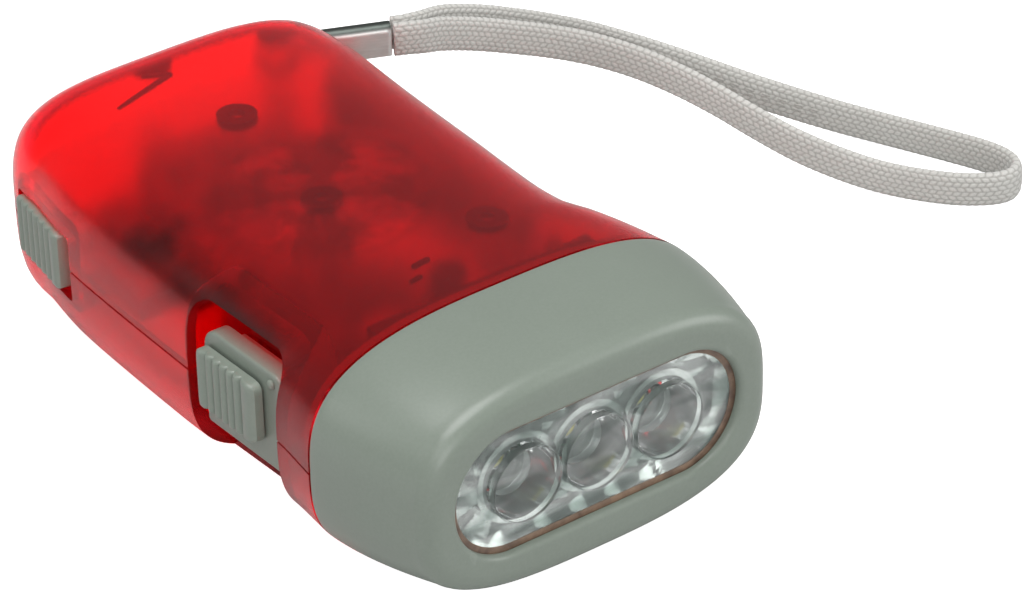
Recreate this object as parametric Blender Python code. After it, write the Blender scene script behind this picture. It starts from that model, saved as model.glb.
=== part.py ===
"""Hand-squeezed dynamo flashlight with three lamps, built as an assembly.

Metres, +Z up. The lens faces -Y, the squeeze lever is on the +X side and the two thumb slides are on the
-X side. Every piece hangs on one empty, whose own frame has y = 0 at the front rim and z = 0 at the
plane where the upper and lower shells meet.
"""

import math

import bmesh
import bpy
from mathutils import Matrix, Vector

# Case
body_length = 0.0952
seam_y = 0.0167
seam_half_width = 0.0270
case_half_height = 0.01465
wall = 0.0018
joint_gap = 0.0003
flat_depth = 0.0004
seam_exponent_share = 3.0
case_exponent_share = 3.69
blend_length = 0.030
rear_corner_right = 0.0149
rear_corner_left = 0.0158
rear_crown = 0.0113
corner_share = 2.4
crown_share = 1.68
case_station_shares = (0.2069, 0.2416, 0.2836, 0.3277, 0.3782, 0.4517, 0.5462, 0.6513, 0.7458)
rear_rings = 6
last_ring_share = 0.992
overrun = 0.002

# Half widths of the case behind the seam, right side then left side: stations as shares of its length, widths as
# shares of its half width at the seam
right_station_shares = (0.2311, 0.2836, 0.3256, 0.3782, 0.4412, 0.5462, 0.6723, 0.8088)
right_width_shares = (0.9556, 0.8963, 0.8259, 0.8074, 0.8148, 0.8407, 0.8778, 0.9296)
left_station_shares = (0.2626, 0.3571, 0.4622, 0.5987, 0.7353, 0.8403)
left_width_shares = (0.9556, 0.9407, 0.9296, 0.9111, 0.8815, 0.8185)
right_stations = (seam_y, *(body_length * share for share in right_station_shares))
right_widths = (seam_half_width, *(seam_half_width * share for share in right_width_shares))
left_stations = (seam_y, *(body_length * share for share in left_station_shares))
left_widths = (seam_half_width, *(seam_half_width * share for share in left_width_shares))

# Front bezel
rim_half_width = 0.0231
rim_half_height = 0.0128
rim_round = 0.0024
bezel_taper_share = 1.7
bezel_rings = 5
rim_round_rings = 3
bezel_inside_shares = (0.80, 0.55, 0.25)
opening_half_width = 0.0196
opening_half_height = 0.0078
opening_lip = 0.0007
lens_seat_depth = 0.0010
lens_seat_margin = 0.0013
lens_seat_end = 0.0029
spigot_length = 0.0029
spigot_wall = 0.0012
spigot_root_share = 0.10

# Lamp head
lens_flange = 0.0012
lens_margin = 0.0011
cup_front_radius = 0.0045
cup_middle_radius = 0.0042
cup_rear_radius = 0.0034
cup_depth = 0.0078
cup_root = 0.0004
cup_bore_depth = 0.0035
lamp_pitch = 0.0098
lamp_radius = 0.0025
lamp_collar_radius = 0.0029
lamp_collar_length = 0.0010
lamp_length = 0.0086
lamp_clearance = 0.0003
lamp_standoff = 0.0030
lamp_leg = 0.0005
lamp_leg_pitch = 0.00254
reflector_depth = 0.0040
board_thickness = 0.0016
board_seat_gap = 0.0005
board_front_y = seam_y + spigot_length + board_seat_gap
lamp_board_half_width = 0.0150
lamp_board_margin = 0.00185
lamp_board_half_height = case_half_height - wall - lamp_board_margin
lamp_leg_tail = 0.0009
lamp_leg_hole = 0.00055
board_rib = 0.0012
board_rib_half_width = 0.0060
board_rib_reach = 0.0027

# Gear train
gear_module = 0.0006
sector_full_teeth = 132
first_pinion_teeth = 12
first_wheel_teeth = 38
second_pinion_teeth = 11
second_wheel_teeth = 36
rotor_pinion_teeth = 10
centre_slack = 0.0001
pressure_angle = math.radians(20.0)
tooth_fill_share = 0.82
addendum_share = 0.85
dedendum_share = 1.25
root_share = 0.88
straight_flank_teeth = 30
least_flank_share = 0.1

lever_pivot = (0.0153, 0.0276)
first_axis_angle = math.radians(111.25)
rotor_axis = (-0.0040, 0.0457)

gear_width = 0.0024
wheel_hole_radius = 0.0021
wheel_hole_circle = 0.0068
wheel_holes = 5
gear_space = 0.0008
sector_half = 0.0012
pinion_overlap = 0.0002
axle_radius = 0.00075
running_clearance = 0.0001
boss_wall = 0.00125
boss_gap = 0.0004
axle_seat = 0.0025

flywheel_radius = 0.0125
flywheel_height = 0.0022
flywheel_web = 0.0010
flywheel_rim = 0.0025
flywheel_top = -0.0024
hub_radius = 0.0021
magnet_radius = 0.0074
magnet_height = 0.0045

# Stator
pole_gap = 0.0006
pole_wall = 0.0010
core_thickness = 0.0028
core_leg = 0.0026
core_tail = 0.0043
coil_bobbin_flange = 0.0045
coil_board_gap = 0.0020
coil_y = board_front_y + board_thickness + coil_board_gap + coil_bobbin_flange
bobbin_flange_width = 0.0008
bobbin_wall = 0.0006
winding_turns = 7
winding_radius = 0.0039
winding_groove = 0.00022

# Lever
lever_front_y = 0.0380
lever_end_gap = 0.0008
lever_rear_inset = 0.0157
lever_rear_y = body_length - lever_rear_inset
lever_half_height = 0.0063
lever_wall = 0.0018
lever_depth = 0.0052
lever_station_shares = (0.0, 0.1205, 0.2892, 0.5301, 0.7470, 0.8916, 1.0)
lever_width_shares = (0.8111, 0.8630, 0.8852, 0.9074, 0.9333, 0.9481, 0.9259)
grip_stations = 15

# Plan of the arm between the grip and the hinge: shares of the half width at the seam and of lever_front_y
arm_shares = (
    (0.4852, 0.7526), (0.6481, 0.7526), (0.6481, 0.8026), (0.5852, 0.9526), (0.6667, 1.0132), (0.7481, 1.1000),
    (0.7926, 1.1842), (0.8296, 1.2158), (0.8444, 1.3158), (0.7704, 1.3289), (0.6370, 1.2368), (0.5111, 1.1000),
    (0.4370, 0.9605), (0.4593, 0.8158),
)
arm_half_height = 0.0026
lever_boss_radius = 0.0032
lever_boss_low = -0.0090
lever_boss_high = 0.0050
pivot_boss_radius = 0.0037
lever_bevel = 0.0006
lever_pin_radius = 0.0011
sector_rim = 0.0030
sector_plain_steps = 12
sector_back_steps = 22
sector_start_angle = math.radians(76.5)
sector_teeth_start_angle = math.radians(107.5)
sector_end_angle = math.radians(138.5)
window_gap = 0.0006
window_front_y = 0.0352
window_rear_y = lever_rear_y + lever_end_gap
lever_spring_wire = 0.0007
lever_spring_radius = 0.0043
lever_spring_pitch = 0.00116
lever_spring_turns = 4
lever_spring_leg = 0.0090
lever_spring_start_share = 0.5
lever_spring_tail_shares = (0.3, 0.55)

# Switch
recess_front_y = 0.0246
recess_rear_y = 0.0430
recess_top = 0.0096
recess_depth = 0.0075
recess_floor_x = seam_half_width - recess_depth
recess_round = 0.0030
plate_front_y = 0.0252
plate_rear_y = 0.0412
plate_sink = 0.0030
plate_face_x = seam_half_width - plate_sink
plate_half_height = 0.0063
plate_thickness = 0.0022
plate_back_inset = 0.0018
plate_round = 0.0026
plate_foot_round = 0.0006
knob_front_y = 0.0293
knob_rear_y = 0.0407
knob_low = -0.0033
knob_high = 0.0044
knob_thickness = 0.0015
knob_round = 0.0011
knob_bar = 0.0027
knob_heel = 0.0020
knob_ribs = 5
knob_rib_depth = 0.00045
stem_half_length = 0.0015
stem_half_height = 0.0015
stem_y = 0.0350
stem_reach = 0.0007
knob_travel = 0.0024
slot_clearance = 0.0004
switch_depth = 0.0040
switch_half_length = 0.0055
switch_half_height = 0.0020
switch_pocket = 0.0014
switch_pin = 0.0005
switch_pin_share = 0.6
dot_radius = 0.0006
dot_height = 0.0004
dot_inset = 0.0013

# Lever latch
latch_tilt = math.radians(8.8)
latch_sink = 0.00438
latch_rear_inset = 0.0176
latch_centre = (latch_sink - seam_half_width, body_length - latch_rear_inset)
latch_length = 0.0115
latch_half_height = 0.0037
latch_thickness = 0.0021
latch_proud = 0.0007
latch_travel = 0.0018
latch_ribs = 5
latch_rib_depth = 0.00035
latch_bar = 0.0022
latch_heel = 0.0014
latch_bevel = 0.0005
latch_pocket_depth = 0.0024
latch_pocket_margin = 0.0006
latch_neck_half = 0.0018
latch_neck_half_height = 0.0016
latch_arm_thickness = 0.0014
latch_arm_half_height = 0.0014
latch_arm_front_y = 0.0572
latch_hook_reach = 0.0054
latch_hook_width = 0.0018

# Fasteners
front_screw_x = 0.0078
front_screw_y = 0.0303
left_screw_x = -0.0001
left_screw_inset = 0.0085
right_screw_x = 0.0169
right_screw_inset = 0.0104
screw_places = (
    (front_screw_x, front_screw_y), (left_screw_x, body_length - left_screw_inset),
    (right_screw_x, body_length - right_screw_inset),
)
post_radius = 0.0021
lower_post_radius = 0.0024
screw_radius = 0.0008
screw_head_radius = 0.0014
screw_head_height = 0.0012
screw_sink = 0.0040
screw_length = 0.0150
screw_slot = 0.0004
screw_slot_share = 0.7
screw_tip_share = 0.3
screw_clearance = 0.0003
board_posts = ((-0.0118, 0.0311), (0.0026, 0.0240))
board_post_radius = 0.0011
cradle_places = ((-0.0120, 0.0330), (0.0040, 0.0355))
cradle_radius = 0.0014

# Power
cell_radius = 0.0056
cell_length = 0.0050
cell_count = 3
cell_round = 0.0005
cell_gap = 0.0003
cell_stack_x = -0.0145
cell_rear_inset = 0.0173
cell_start = (cell_stack_x, body_length - cell_rear_inset, -cell_radius)
contact_thickness = 0.0005
contact_half_width = 0.0030
contact_half_height = 0.0045
contact_rib = 0.0010
contact_rib_top = -0.0020
drive_board_size = (0.0172, 0.0104)
drive_board_corner = (-0.0130, 0.0220)
drive_board_z = 0.0008
drive_board_thickness = 0.0012
diode_radius = 0.0011
diode_length = 0.0042
diode_lead = 0.0003
diode_lead_length = 0.0016
diode_places = ((-0.0104, 0.0264), (-0.0076, 0.0264), (-0.0048, 0.0264), (-0.0020, 0.0264))
barrel_rim_share = 0.75
barrel_round_share = 0.25
resistor_radius = 0.00088
resistor_place = (-0.0066, 0.0312)
capacitor_radius = 0.0022
capacitor_height = 0.0055
capacitor_rim_share = 0.9
capacitor_shoulder_share = 0.92
capacitor_place = (0.0018, 0.0299)
wire_radius = 0.0005

# Routes of the wires: colour, number of rings and the points from one soldered end to the other
wire_routes = (
    ("wire_cell_plus", "red", 26, (
        (0.0031, 0.0740, -0.0064), (0.0060, 0.0715, -0.0092), (0.0092, 0.0650, -0.0104), (0.0098, 0.0550, -0.0106),
        (0.0096, 0.0450, -0.0104), (0.0094, 0.0385, -0.0090), (0.0066, 0.0350, -0.0035), (0.0036, 0.0306, -0.0002))),
    ("wire_cell_minus", "black", 26, (
        (-0.0149, 0.0741, -0.0064), (-0.0160, 0.0720, -0.0080), (-0.0178, 0.0650, -0.0086),
        (-0.0190, 0.0560, -0.0086), (-0.0180, 0.0490, -0.0084), (-0.0169, 0.0445, -0.0080),
        (-0.0168, 0.0421, -0.0060), (-0.0168, 0.0414, -0.0032), (-0.0166, 0.0413, -0.0008))),
    ("wire_switch", "black", 12, (
        (-0.0157, 0.0288, -0.0004), (-0.0158, 0.0275, -0.0010), (-0.0146, 0.0255, -0.0014),
        (-0.0120, 0.0246, -0.0010), (-0.0106, 0.0246, -0.0001))),
    ("wire_lamp_plus", "red", 10, (
        (-0.0123, 0.0246, 0.0028), (-0.0123, 0.0247, 0.0044), (-0.0122, 0.0238, 0.0056), (-0.0122, 0.0225, 0.0060))),
    ("wire_lamp_minus", "black", 10, (
        (0.0006, 0.0235, 0.0028), (0.0006, 0.0238, 0.0044), (0.0006, 0.0232, 0.0056), (0.0006, 0.0225, 0.0060))),
    ("wire_coil_start", "yellow", 8, (
        (-0.0085, 0.0282, -0.0023), (-0.0086, 0.0284, -0.0014), (-0.0085, 0.0286, -0.0001))),
    ("wire_coil_end", "yellow", 8, (
        (0.0001, 0.0282, -0.0023), (0.0002, 0.0284, -0.0014), (0.0001, 0.0286, -0.0001))),
)

# Wrist strap
strap_width = 0.0045
strap_thickness = 0.0016
strap_edge_share = 0.7
crimp_angle = math.radians(-24.0)
crimp_reach = 0.0038
crimp_rear_inset = 0.0148
crimp_end = (seam_half_width + crimp_reach, body_length - crimp_rear_inset)
crimp_length = 0.0122
crimp_eye_wall = 0.0007
crimp_eye_top = 0.0074
crimp_half_thickness = 0.00115
crimp_bottom = 0.0057
crimp_top = 0.0099
crimp_notch = 0.00035
strap_spread = 0.00095
strap_straight = 0.0015

# Route of the strap's centre line, out along the back run, round the loop and home
strap_route = (
    (0.0355, 0.0806, 0.0074), (0.0395, 0.0814, 0.0065), (0.0450, 0.0816, 0.0046), (0.0504, 0.0809, 0.0025),
    (0.0558, 0.0796, 0.0003), (0.0606, 0.0776, -0.0017), (0.0645, 0.0743, -0.0033), (0.0681, 0.0707, -0.0049),
    (0.0715, 0.0669, -0.0065), (0.0749, 0.0630, -0.0081), (0.0785, 0.0593, -0.0097), (0.0820, 0.0555, -0.0111),
    (0.0850, 0.0512, -0.0119), (0.0872, 0.0464, -0.0121), (0.0891, 0.0415, -0.0121), (0.0906, 0.0372, -0.0121),
    (0.0911, 0.0338, -0.0121), (0.0903, 0.0312, -0.0121), (0.0882, 0.0300, -0.0121), (0.0856, 0.0307, -0.0121),
    (0.0823, 0.0334, -0.0121), (0.0793, 0.0375, -0.0121), (0.0766, 0.0419, -0.0118), (0.0736, 0.0461, -0.0106),
    (0.0708, 0.0504, -0.0090), (0.0685, 0.0554, -0.0072), (0.0665, 0.0609, -0.0054), (0.0641, 0.0659, -0.0037),
    (0.0612, 0.0701, -0.0021), (0.0575, 0.0735, -0.0005), (0.0531, 0.0760, 0.0011), (0.0482, 0.0776, 0.0028),
    (0.0427, 0.0788, 0.0047), (0.0379, 0.0790, 0.0063), (0.0346, 0.0785, 0.0073),
)
strap_points = 60

ring_points = 36
round_steps = 20
small_steps = 12
rib_steps = 6
disc_steps = 32
barrel_steps = 16
lead_sides = 4
spring_sides = 6
curl_points = 10
band_sides = 8
route_steps = 12
dome_steps = 4
smooth_angle = math.radians(32.0)


def clear_scene():
    for thing in list(bpy.data.objects):
        bpy.data.objects.remove(thing, do_unlink=True)


def make_material(name, colour, roughness, metallic=0.0):
    material = bpy.data.materials.new(name)
    material.use_nodes = True
    shader = material.node_tree.nodes["Principled BSDF"]
    shader.inputs["Base Color"].default_value = (*colour, 1.0)
    shader.inputs["Roughness"].default_value = roughness
    shader.inputs["Metallic"].default_value = metallic
    material.diffuse_color = (*colour, 1.0)
    return material


def add_object(name, mesh):
    thing = bpy.data.objects.new(name, mesh)
    bpy.context.scene.collection.objects.link(thing)
    return thing


def mesh_object(name, work):
    bmesh.ops.recalc_face_normals(work, faces=work.faces)
    mesh = bpy.data.meshes.new(name)
    work.to_mesh(mesh)
    work.free()
    return add_object(name, mesh)


def combine(target, tool, operation):
    """Applies a Boolean of tool to target, then removes the tool."""
    step = target.modifiers.new("Shape", "BOOLEAN")
    step.operation = operation
    step.solver = "EXACT"
    step.object = tool
    bpy.context.view_layer.update()
    shaped = target.evaluated_get(bpy.context.evaluated_depsgraph_get())
    mesh = bpy.data.meshes.new_from_object(shaped)
    target.modifiers.remove(step)
    old = target.data
    target.data = mesh
    bpy.data.meshes.remove(old)
    bpy.data.objects.remove(tool, do_unlink=True)
    return target


def cut(target, tool):
    return combine(target, tool, "DIFFERENCE")


def join(target, tool):
    return combine(target, tool, "UNION")


def keep(target, tool):
    return combine(target, tool, "INTERSECT")


def copy_object(source, name):
    return add_object(name, source.data.copy())


def loft(name, rings):
    """Closed solid through rings of equal point counts, capped at both ends."""
    work = bmesh.new()
    rows = [[work.verts.new(point) for point in ring] for ring in rings]
    count = len(rows[0])
    for low, high in zip(rows, rows[1:]):
        for i in range(count):
            j = (i + 1) % count
            work.faces.new((low[i], low[j], high[j], high[i]))
    work.faces.new(list(reversed(rows[0])))
    work.faces.new(rows[-1])
    return mesh_object(name, work)


def tunnel(name, rings):
    """Closed solid whose rings run out along the outside and back along the inside of a hole."""
    work = bmesh.new()
    rows = [[work.verts.new(point) for point in ring] for ring in rings]
    count = len(rows[0])
    for low, high in zip(rows, rows[1:] + rows[:1]):
        for i in range(count):
            j = (i + 1) % count
            work.faces.new((low[i], low[j], high[j], high[i]))
    return mesh_object(name, work)


def prism(name, outline, low, high):
    return loft(name, [[(x, y, z) for x, y in outline] for z in (low, high)])


def box(name, low, high, bevel=0.0):
    xs, ys = (low[0], high[0]), (low[1], high[1])
    outline = [(xs[0], ys[0]), (xs[1], ys[0]), (xs[1], ys[1]), (xs[0], ys[1])]
    thing = prism(name, outline, low[2], high[2])
    if bevel:
        work = bmesh.new()
        work.from_mesh(thing.data)
        bmesh.ops.bevel(work, geom=work.edges[:], offset=bevel, segments=1, affect="EDGES")
        work.to_mesh(thing.data)
        work.free()
    return thing


def circle(centre, radius, steps, start=0.0):
    turn = 2.0 * math.pi / steps
    return [
        (centre[0] + radius * math.cos(start + turn * i), centre[1] + radius * math.sin(start + turn * i))
        for i in range(steps)
    ]


def rod(name, centre, radius, low, high, steps=small_steps):
    return prism(name, circle(centre, radius, steps), low, high)


def turned(name, profile, steps=small_steps):
    """Solid of revolution about Z from (radius, height) points; a profile off the axis gives a bore."""
    closed = profile[0][0] > 0.0
    rings = [[(r * math.cos(2 * math.pi * i / steps), r * math.sin(2 * math.pi * i / steps), z)
              for i in range(steps)] for r, z in profile if r > 0.0]
    if closed:
        return tunnel(name, rings)
    work = bmesh.new()
    rows = [[work.verts.new(point) for point in ring] for ring in rings]
    for low, high in zip(rows, rows[1:]):
        for i in range(steps):
            j = (i + 1) % steps
            work.faces.new((low[i], low[j], high[j], high[i]))
    for row, height in ((rows[0], profile[0][1]), (rows[-1], profile[-1][1])):
        tip = work.verts.new((0.0, 0.0, height))
        for i in range(steps):
            work.faces.new((row[i], row[(i + 1) % steps], tip))
    return mesh_object(name, work)


def shift(thing, offset):
    for vertex in thing.data.vertices:
        vertex.co += Vector(offset)
    return thing


def turn_mesh(thing, angle, axis):
    thing.data.transform(Matrix.Rotation(angle, 4, axis))
    return thing


def along_y(thing):
    """Lays a solid built about Z along Y, its +Z end to the rear."""
    return turn_mesh(thing, -0.5 * math.pi, "X")


def along_x(thing):
    return turn_mesh(thing, 0.5 * math.pi, "Y")


def smooth_curve(stations, values, at):
    """Monotone cubic through the stations, flat beyond the last one."""
    if at <= stations[0]:
        return values[0]
    if at >= stations[-1]:
        return values[-1]
    count = len(stations)
    spans = [stations[i + 1] - stations[i] for i in range(count - 1)]
    rises = [(values[i + 1] - values[i]) / spans[i] for i in range(count - 1)]
    slopes = [rises[0]]
    for i in range(1, count - 1):
        if rises[i - 1] * rises[i] <= 0.0:
            slopes.append(0.0)
        else:
            slopes.append(2.0 * rises[i - 1] * rises[i] / (rises[i - 1] + rises[i]))
    slopes.append(rises[-1])
    i = max(k for k in range(count - 1) if stations[k] <= at)
    t = (at - stations[i]) / spans[i]
    lead = values[i] + spans[i] * slopes[i] * t * (1.0 - t) ** 2
    tail = (values[i + 1] - values[i]) * t * t * (3.0 - 2.0 * t)
    return lead + tail + spans[i] * slopes[i + 1] * t * t * (t - 1.0)


def superellipse(right, left, half_height, exponent, y, flat, count=ring_points):
    ring = []
    for i in range(count):
        angle = 2.0 * math.pi * (i + 0.5) / count
        c, s = math.cos(angle), math.sin(angle)
        side = right if c > 0.0 else left
        x = side * math.copysign(abs(c) ** (2.0 / exponent), c)
        z = half_height * math.copysign(abs(s) ** (2.0 / exponent), s)
        ring.append((x, y, max(flat - half_height, min(half_height - flat, z))))
    return ring


def taper(y, end, length, exponent):
    """Share of full size left at y where a rounding of this length runs out at end."""
    start = end - length
    if y <= start:
        return 1.0
    return max(0.0, 1.0 - ((y - start) / length) ** exponent) ** (1.0 / exponent)


def case_section(y, inset):
    """Ring of the case at y, drawn in by inset on every side."""
    end = body_length - inset
    right = smooth_curve(right_stations, right_widths, min(y, right_stations[-1])) - inset
    left = smooth_curve(left_stations, left_widths, min(y, left_stations[-1])) - inset
    right *= taper(y, end, rear_corner_right - inset, corner_share)
    left *= taper(y, end, rear_corner_left - inset, corner_share)
    share = min(1.0, max(0.0, (y - seam_y) / blend_length))
    height = case_half_height - inset
    height *= taper(y, end, rear_crown - inset, crown_share)
    exponent = seam_exponent_share + (case_exponent_share - seam_exponent_share) * share
    return superellipse(right, left, height, exponent, y, flat_depth * height / case_half_height)


def case_loft(name, inset, front):
    end = body_length - inset
    turn_y = body_length - rear_corner_left - inset
    ys = [front, *(body_length * share for share in case_station_shares)]
    for i in range(rear_rings + 1):
        share = math.sin(0.5 * math.pi * i / rear_rings)
        ys.append(turn_y + (end - turn_y) * last_ring_share * share)
    rings = [case_section(y, inset) for y in ys]
    rings[-1] = [(x, end, z) for x, _, z in rings[-1]]
    return loft(name, rings)


# Gear centres, worked out from the pivot and the tooth counts
def pitch_radius(teeth):
    return 0.5 * gear_module * teeth


def centre_distance(teeth_a, teeth_b):
    return pitch_radius(teeth_a) + pitch_radius(teeth_b) + centre_slack


def towards(start, angle, distance):
    return (start[0] + distance * math.cos(angle), start[1] + distance * math.sin(angle))


def heading(start, end):
    return math.atan2(end[1] - start[1], end[0] - start[0])


def crossing(a, radius_a, b, radius_b):
    """Point at the two given distances from a and b, on the right of the line from a to b."""
    span = math.hypot(b[0] - a[0], b[1] - a[1])
    along = (radius_a ** 2 - radius_b ** 2 + span ** 2) / (2.0 * span)
    side = math.sqrt(radius_a ** 2 - along ** 2)
    ux, uy = (b[0] - a[0]) / span, (b[1] - a[1]) / span
    return (a[0] + along * ux + side * uy, a[1] + along * uy - side * ux)


first_axis = towards(lever_pivot, first_axis_angle, centre_distance(sector_full_teeth, first_pinion_teeth))
second_axis = crossing(
    rotor_axis, centre_distance(second_wheel_teeth, rotor_pinion_teeth),
    first_axis, centre_distance(first_wheel_teeth, second_pinion_teeth),
)


def meshed_phase(phase, teeth, next_teeth, angle):
    """Phase of the next gear that puts its gap where the first gear, seen along angle, has a tooth."""
    step, next_step = 2.0 * math.pi / teeth, 2.0 * math.pi / next_teeth
    return angle + math.pi - next_step * (0.5 - (angle - phase) / step)


sector_phase = first_axis_angle
first_phase = meshed_phase(sector_phase, sector_full_teeth, first_pinion_teeth, first_axis_angle)
second_phase = meshed_phase(first_phase, first_wheel_teeth, second_pinion_teeth,
                            heading(first_axis, second_axis))
rotor_phase = meshed_phase(second_phase, second_wheel_teeth, rotor_pinion_teeth,
                           heading(second_axis, rotor_axis))


def tooth_half_angle(radius, teeth):
    """Half the angle that a tooth fills at a radius: an involute flank, drawn in below its base circle."""
    pitch = pitch_radius(teeth)
    base = pitch * math.cos(pressure_angle)
    half = tooth_fill_share * 0.5 * math.pi / teeth
    at_pitch = math.tan(pressure_angle) - pressure_angle
    if radius <= base:
        return (half + at_pitch) * root_share
    angle = math.acos(base / radius)
    return half + at_pitch - (math.tan(angle) - angle)


def tooth_points(teeth, angle):
    pitch = pitch_radius(teeth)
    root = pitch - dedendum_share * gear_module
    tip = pitch + addendum_share * gear_module
    base = max(root, pitch * math.cos(pressure_angle))
    radii = [root, base, pitch, tip]
    if teeth > straight_flank_teeth:
        radii = [root, tip]
    elif base - root < least_flank_share * gear_module:
        radii = [root, pitch, tip]
    rising = [(r, angle - tooth_half_angle(r, teeth)) for r in radii]
    falling = [(r, angle + tooth_half_angle(r, teeth)) for r in reversed(radii)]
    return [(r * math.cos(a), r * math.sin(a)) for r, a in rising + falling]


def gear_outline(teeth, phase):
    step = 2.0 * math.pi / teeth
    return [point for i in range(teeth) for point in tooth_points(teeth, phase + step * i)]


def gear_solid(name, teeth, phase, low, high):
    return prism(name, gear_outline(teeth, phase), low, high)


# Levels of the train: the sector and first pinion, then the first wheel, then the second wheel
first_wheel_low = sector_half + running_clearance + gear_space
first_wheel_high = first_wheel_low + gear_width
second_wheel_low = first_wheel_high + gear_space
second_wheel_high = second_wheel_low + gear_width
magnet_high = flywheel_top - flywheel_height - joint_gap
magnet_low = magnet_high - magnet_height
core_middle = 0.5 * (magnet_low + magnet_high)


def recess_tool(name, inset):
    """Block that fills the switch recess, grown by inset for the wall behind it."""
    rear, front = recess_rear_y + inset, recess_front_y - inset
    low, high = -case_half_height - overrun, recess_top + inset
    bend = recess_round + inset
    outline = [(rear, low), (rear, high - bend), (rear - bend, high), (front + bend, high), (front, high - bend),
               (front, low)]
    depth = recess_floor_x - inset
    outer = seam_half_width + overrun
    rings = [[(-x, y, z) for y, z in outline] for x in (depth, outer)]
    return loft(name, rings)


def latch_frame(thing):
    """Places a solid drawn in the latch's own frame: +X inwards, +Y along the slide, z up."""
    turn_mesh(thing, -latch_tilt, "Z")
    return shift(thing, (latch_centre[0], latch_centre[1], 0.0))


def latch_pocket(name, inset):
    half = 0.5 * latch_length + latch_pocket_margin + inset
    front = half + latch_travel
    height = latch_half_height + latch_pocket_margin + inset
    depth = latch_pocket_depth + inset
    tool = box(name, (-wall * 2, -front, -height), (depth, half, height))
    return latch_frame(tool)


def lever_outer_x(y):
    """Outside of the lever's grip in plan, bowed a little between its ends."""
    stations = [lever_front_y + (lever_rear_y - lever_front_y) * share for share in lever_station_shares]
    widths = [seam_half_width * share for share in lever_width_shares]
    return smooth_curve(stations, widths, y)


def make_case(red):
    case = case_loft("case", 0.0, seam_y + joint_gap)
    cut(case, recess_tool("recess", 0.0))
    cut(case, latch_pocket("latch_recess", 0.0))
    cavity = case_loft("cavity", wall, seam_y - overrun)
    cut(cavity, recess_tool("recess_wall", wall - joint_gap))
    cut(cavity, latch_pocket("latch_wall", wall - joint_gap))
    cut(case, cavity)

    height = lever_half_height + window_gap
    cut(case, box("lever_window", (lever_pivot[0], window_front_y, -height),
                  (seam_half_width + overrun, window_rear_y, height)))

    front = stem_y - stem_half_length - knob_travel - slot_clearance
    rear = stem_y + stem_half_length + slot_clearance
    high = stem_half_height + slot_clearance
    cut(case, box("stem_slot", (-recess_floor_x - overrun, front, -high), (-recess_floor_x + 2 * wall, rear, high)))

    neck = latch_neck_half + slot_clearance
    tall = latch_neck_half_height + slot_clearance
    tool = box("neck_slot", (0.0, -neck - latch_travel, -tall), (latch_pocket_depth + 2 * wall, neck, tall))
    cut(case, latch_frame(tool))

    big = body_length
    upper = copy_object(case, "upper_shell")
    keep(upper, box("upper_half", (-big, -big, 0.5 * joint_gap), (big, 2 * big, big)))
    lower = case
    lower.name = "lower_shell"
    keep(lower, box("lower_half", (-big, -big, -big), (big, 2 * big, -0.5 * joint_gap)))

    join(upper, within_case("upper_posts", upper_posts()))
    join(lower, within_case("lower_posts", lower_posts()))
    cut(upper, gathered("upper_holes", upper_holes()))
    cut(lower, gathered("lower_holes", lower_holes()))
    cut(upper, crimp_block("notch", crimp_notch))
    for shell in (upper, lower):
        shell.data.materials.clear()
        shell.data.materials.append(red)
    return upper, lower


def rounded_slot(half_width, half_height, y, count=ring_points):
    """Stadium in the plane of the lens, with as many points as the other rings."""
    ring = []
    for i in range(count):
        angle = 2.0 * math.pi * (i + 0.5) / count
        c, s = math.cos(angle), math.sin(angle)
        x = half_height * c + math.copysign(half_width - half_height, c)
        ring.append((x, y, half_height * s))
    return ring


def bezel_section(share, inset):
    """Ring of the bezel, from the seam at share 0 to the front rim at share 1."""
    grow = share ** bezel_taper_share
    width = seam_half_width + (rim_half_width - seam_half_width) * grow - inset
    height = case_half_height + (rim_half_height - case_half_height) * grow - inset
    flat = flat_depth * (1.0 - grow)
    return superellipse(width, width, height, seam_exponent_share, seam_y * (1.0 - share), flat)


def make_bezel(grey):
    round_share = 1.0 - rim_round / seam_y
    rings = [bezel_section(round_share * i / (bezel_rings - 1), 0.0) for i in range(bezel_rings)]
    for i in range(1, rim_round_rings + 1):
        angle = 0.5 * math.pi * i / rim_round_rings
        inset = rim_round * (1.0 - math.cos(angle))
        y = rim_round * (1.0 - math.sin(angle))
        rings.append([(x, y, z) for x, _, z in bezel_section(round_share, inset)])
    rings.append(rounded_slot(opening_half_width + opening_lip, opening_half_height + opening_lip, 0.0))
    rings.append(rounded_slot(opening_half_width, opening_half_height, opening_lip))
    rings.append(rounded_slot(opening_half_width, opening_half_height, lens_seat_depth))
    outer_a, outer_b = opening_half_width + lens_seat_margin, opening_half_height + lens_seat_margin
    rings.append(rounded_slot(outer_a, outer_b, lens_seat_depth))
    rings.append(rounded_slot(outer_a, outer_b, lens_seat_end))
    for share in bezel_inside_shares:
        rings.append(bezel_section(share, wall))
    lip = wall + joint_gap
    tip = seam_y + spigot_length
    rings.append(bezel_section(spigot_root_share, lip + spigot_wall))
    rings.append(case_section(tip, lip + spigot_wall))
    rings.append(case_section(tip, lip))
    rings.append(case_section(seam_y, lip))
    bezel = tunnel("front_bezel", rings)
    bezel.data.materials.append(grey)
    return bezel


def gathered(name, things):
    """One object of several solids that keep clear of each other."""
    work = bmesh.new()
    for thing in things:
        work.from_mesh(thing.data)
        bpy.data.objects.remove(thing, do_unlink=True)
    mesh = bpy.data.meshes.new(name)
    work.to_mesh(mesh)
    work.free()
    return add_object(name, mesh)


def within_case(name, things):
    """Posts and ribs trimmed so that they end inside the thickness of the case wall."""
    return keep(gathered(name, things), case_loft("trim", 0.5 * wall, seam_y + 2 * joint_gap))


def named(thing, name, material):
    thing.name = name
    thing.data.name = name
    thing.data.materials.clear()
    thing.data.materials.append(material)
    return thing


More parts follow.
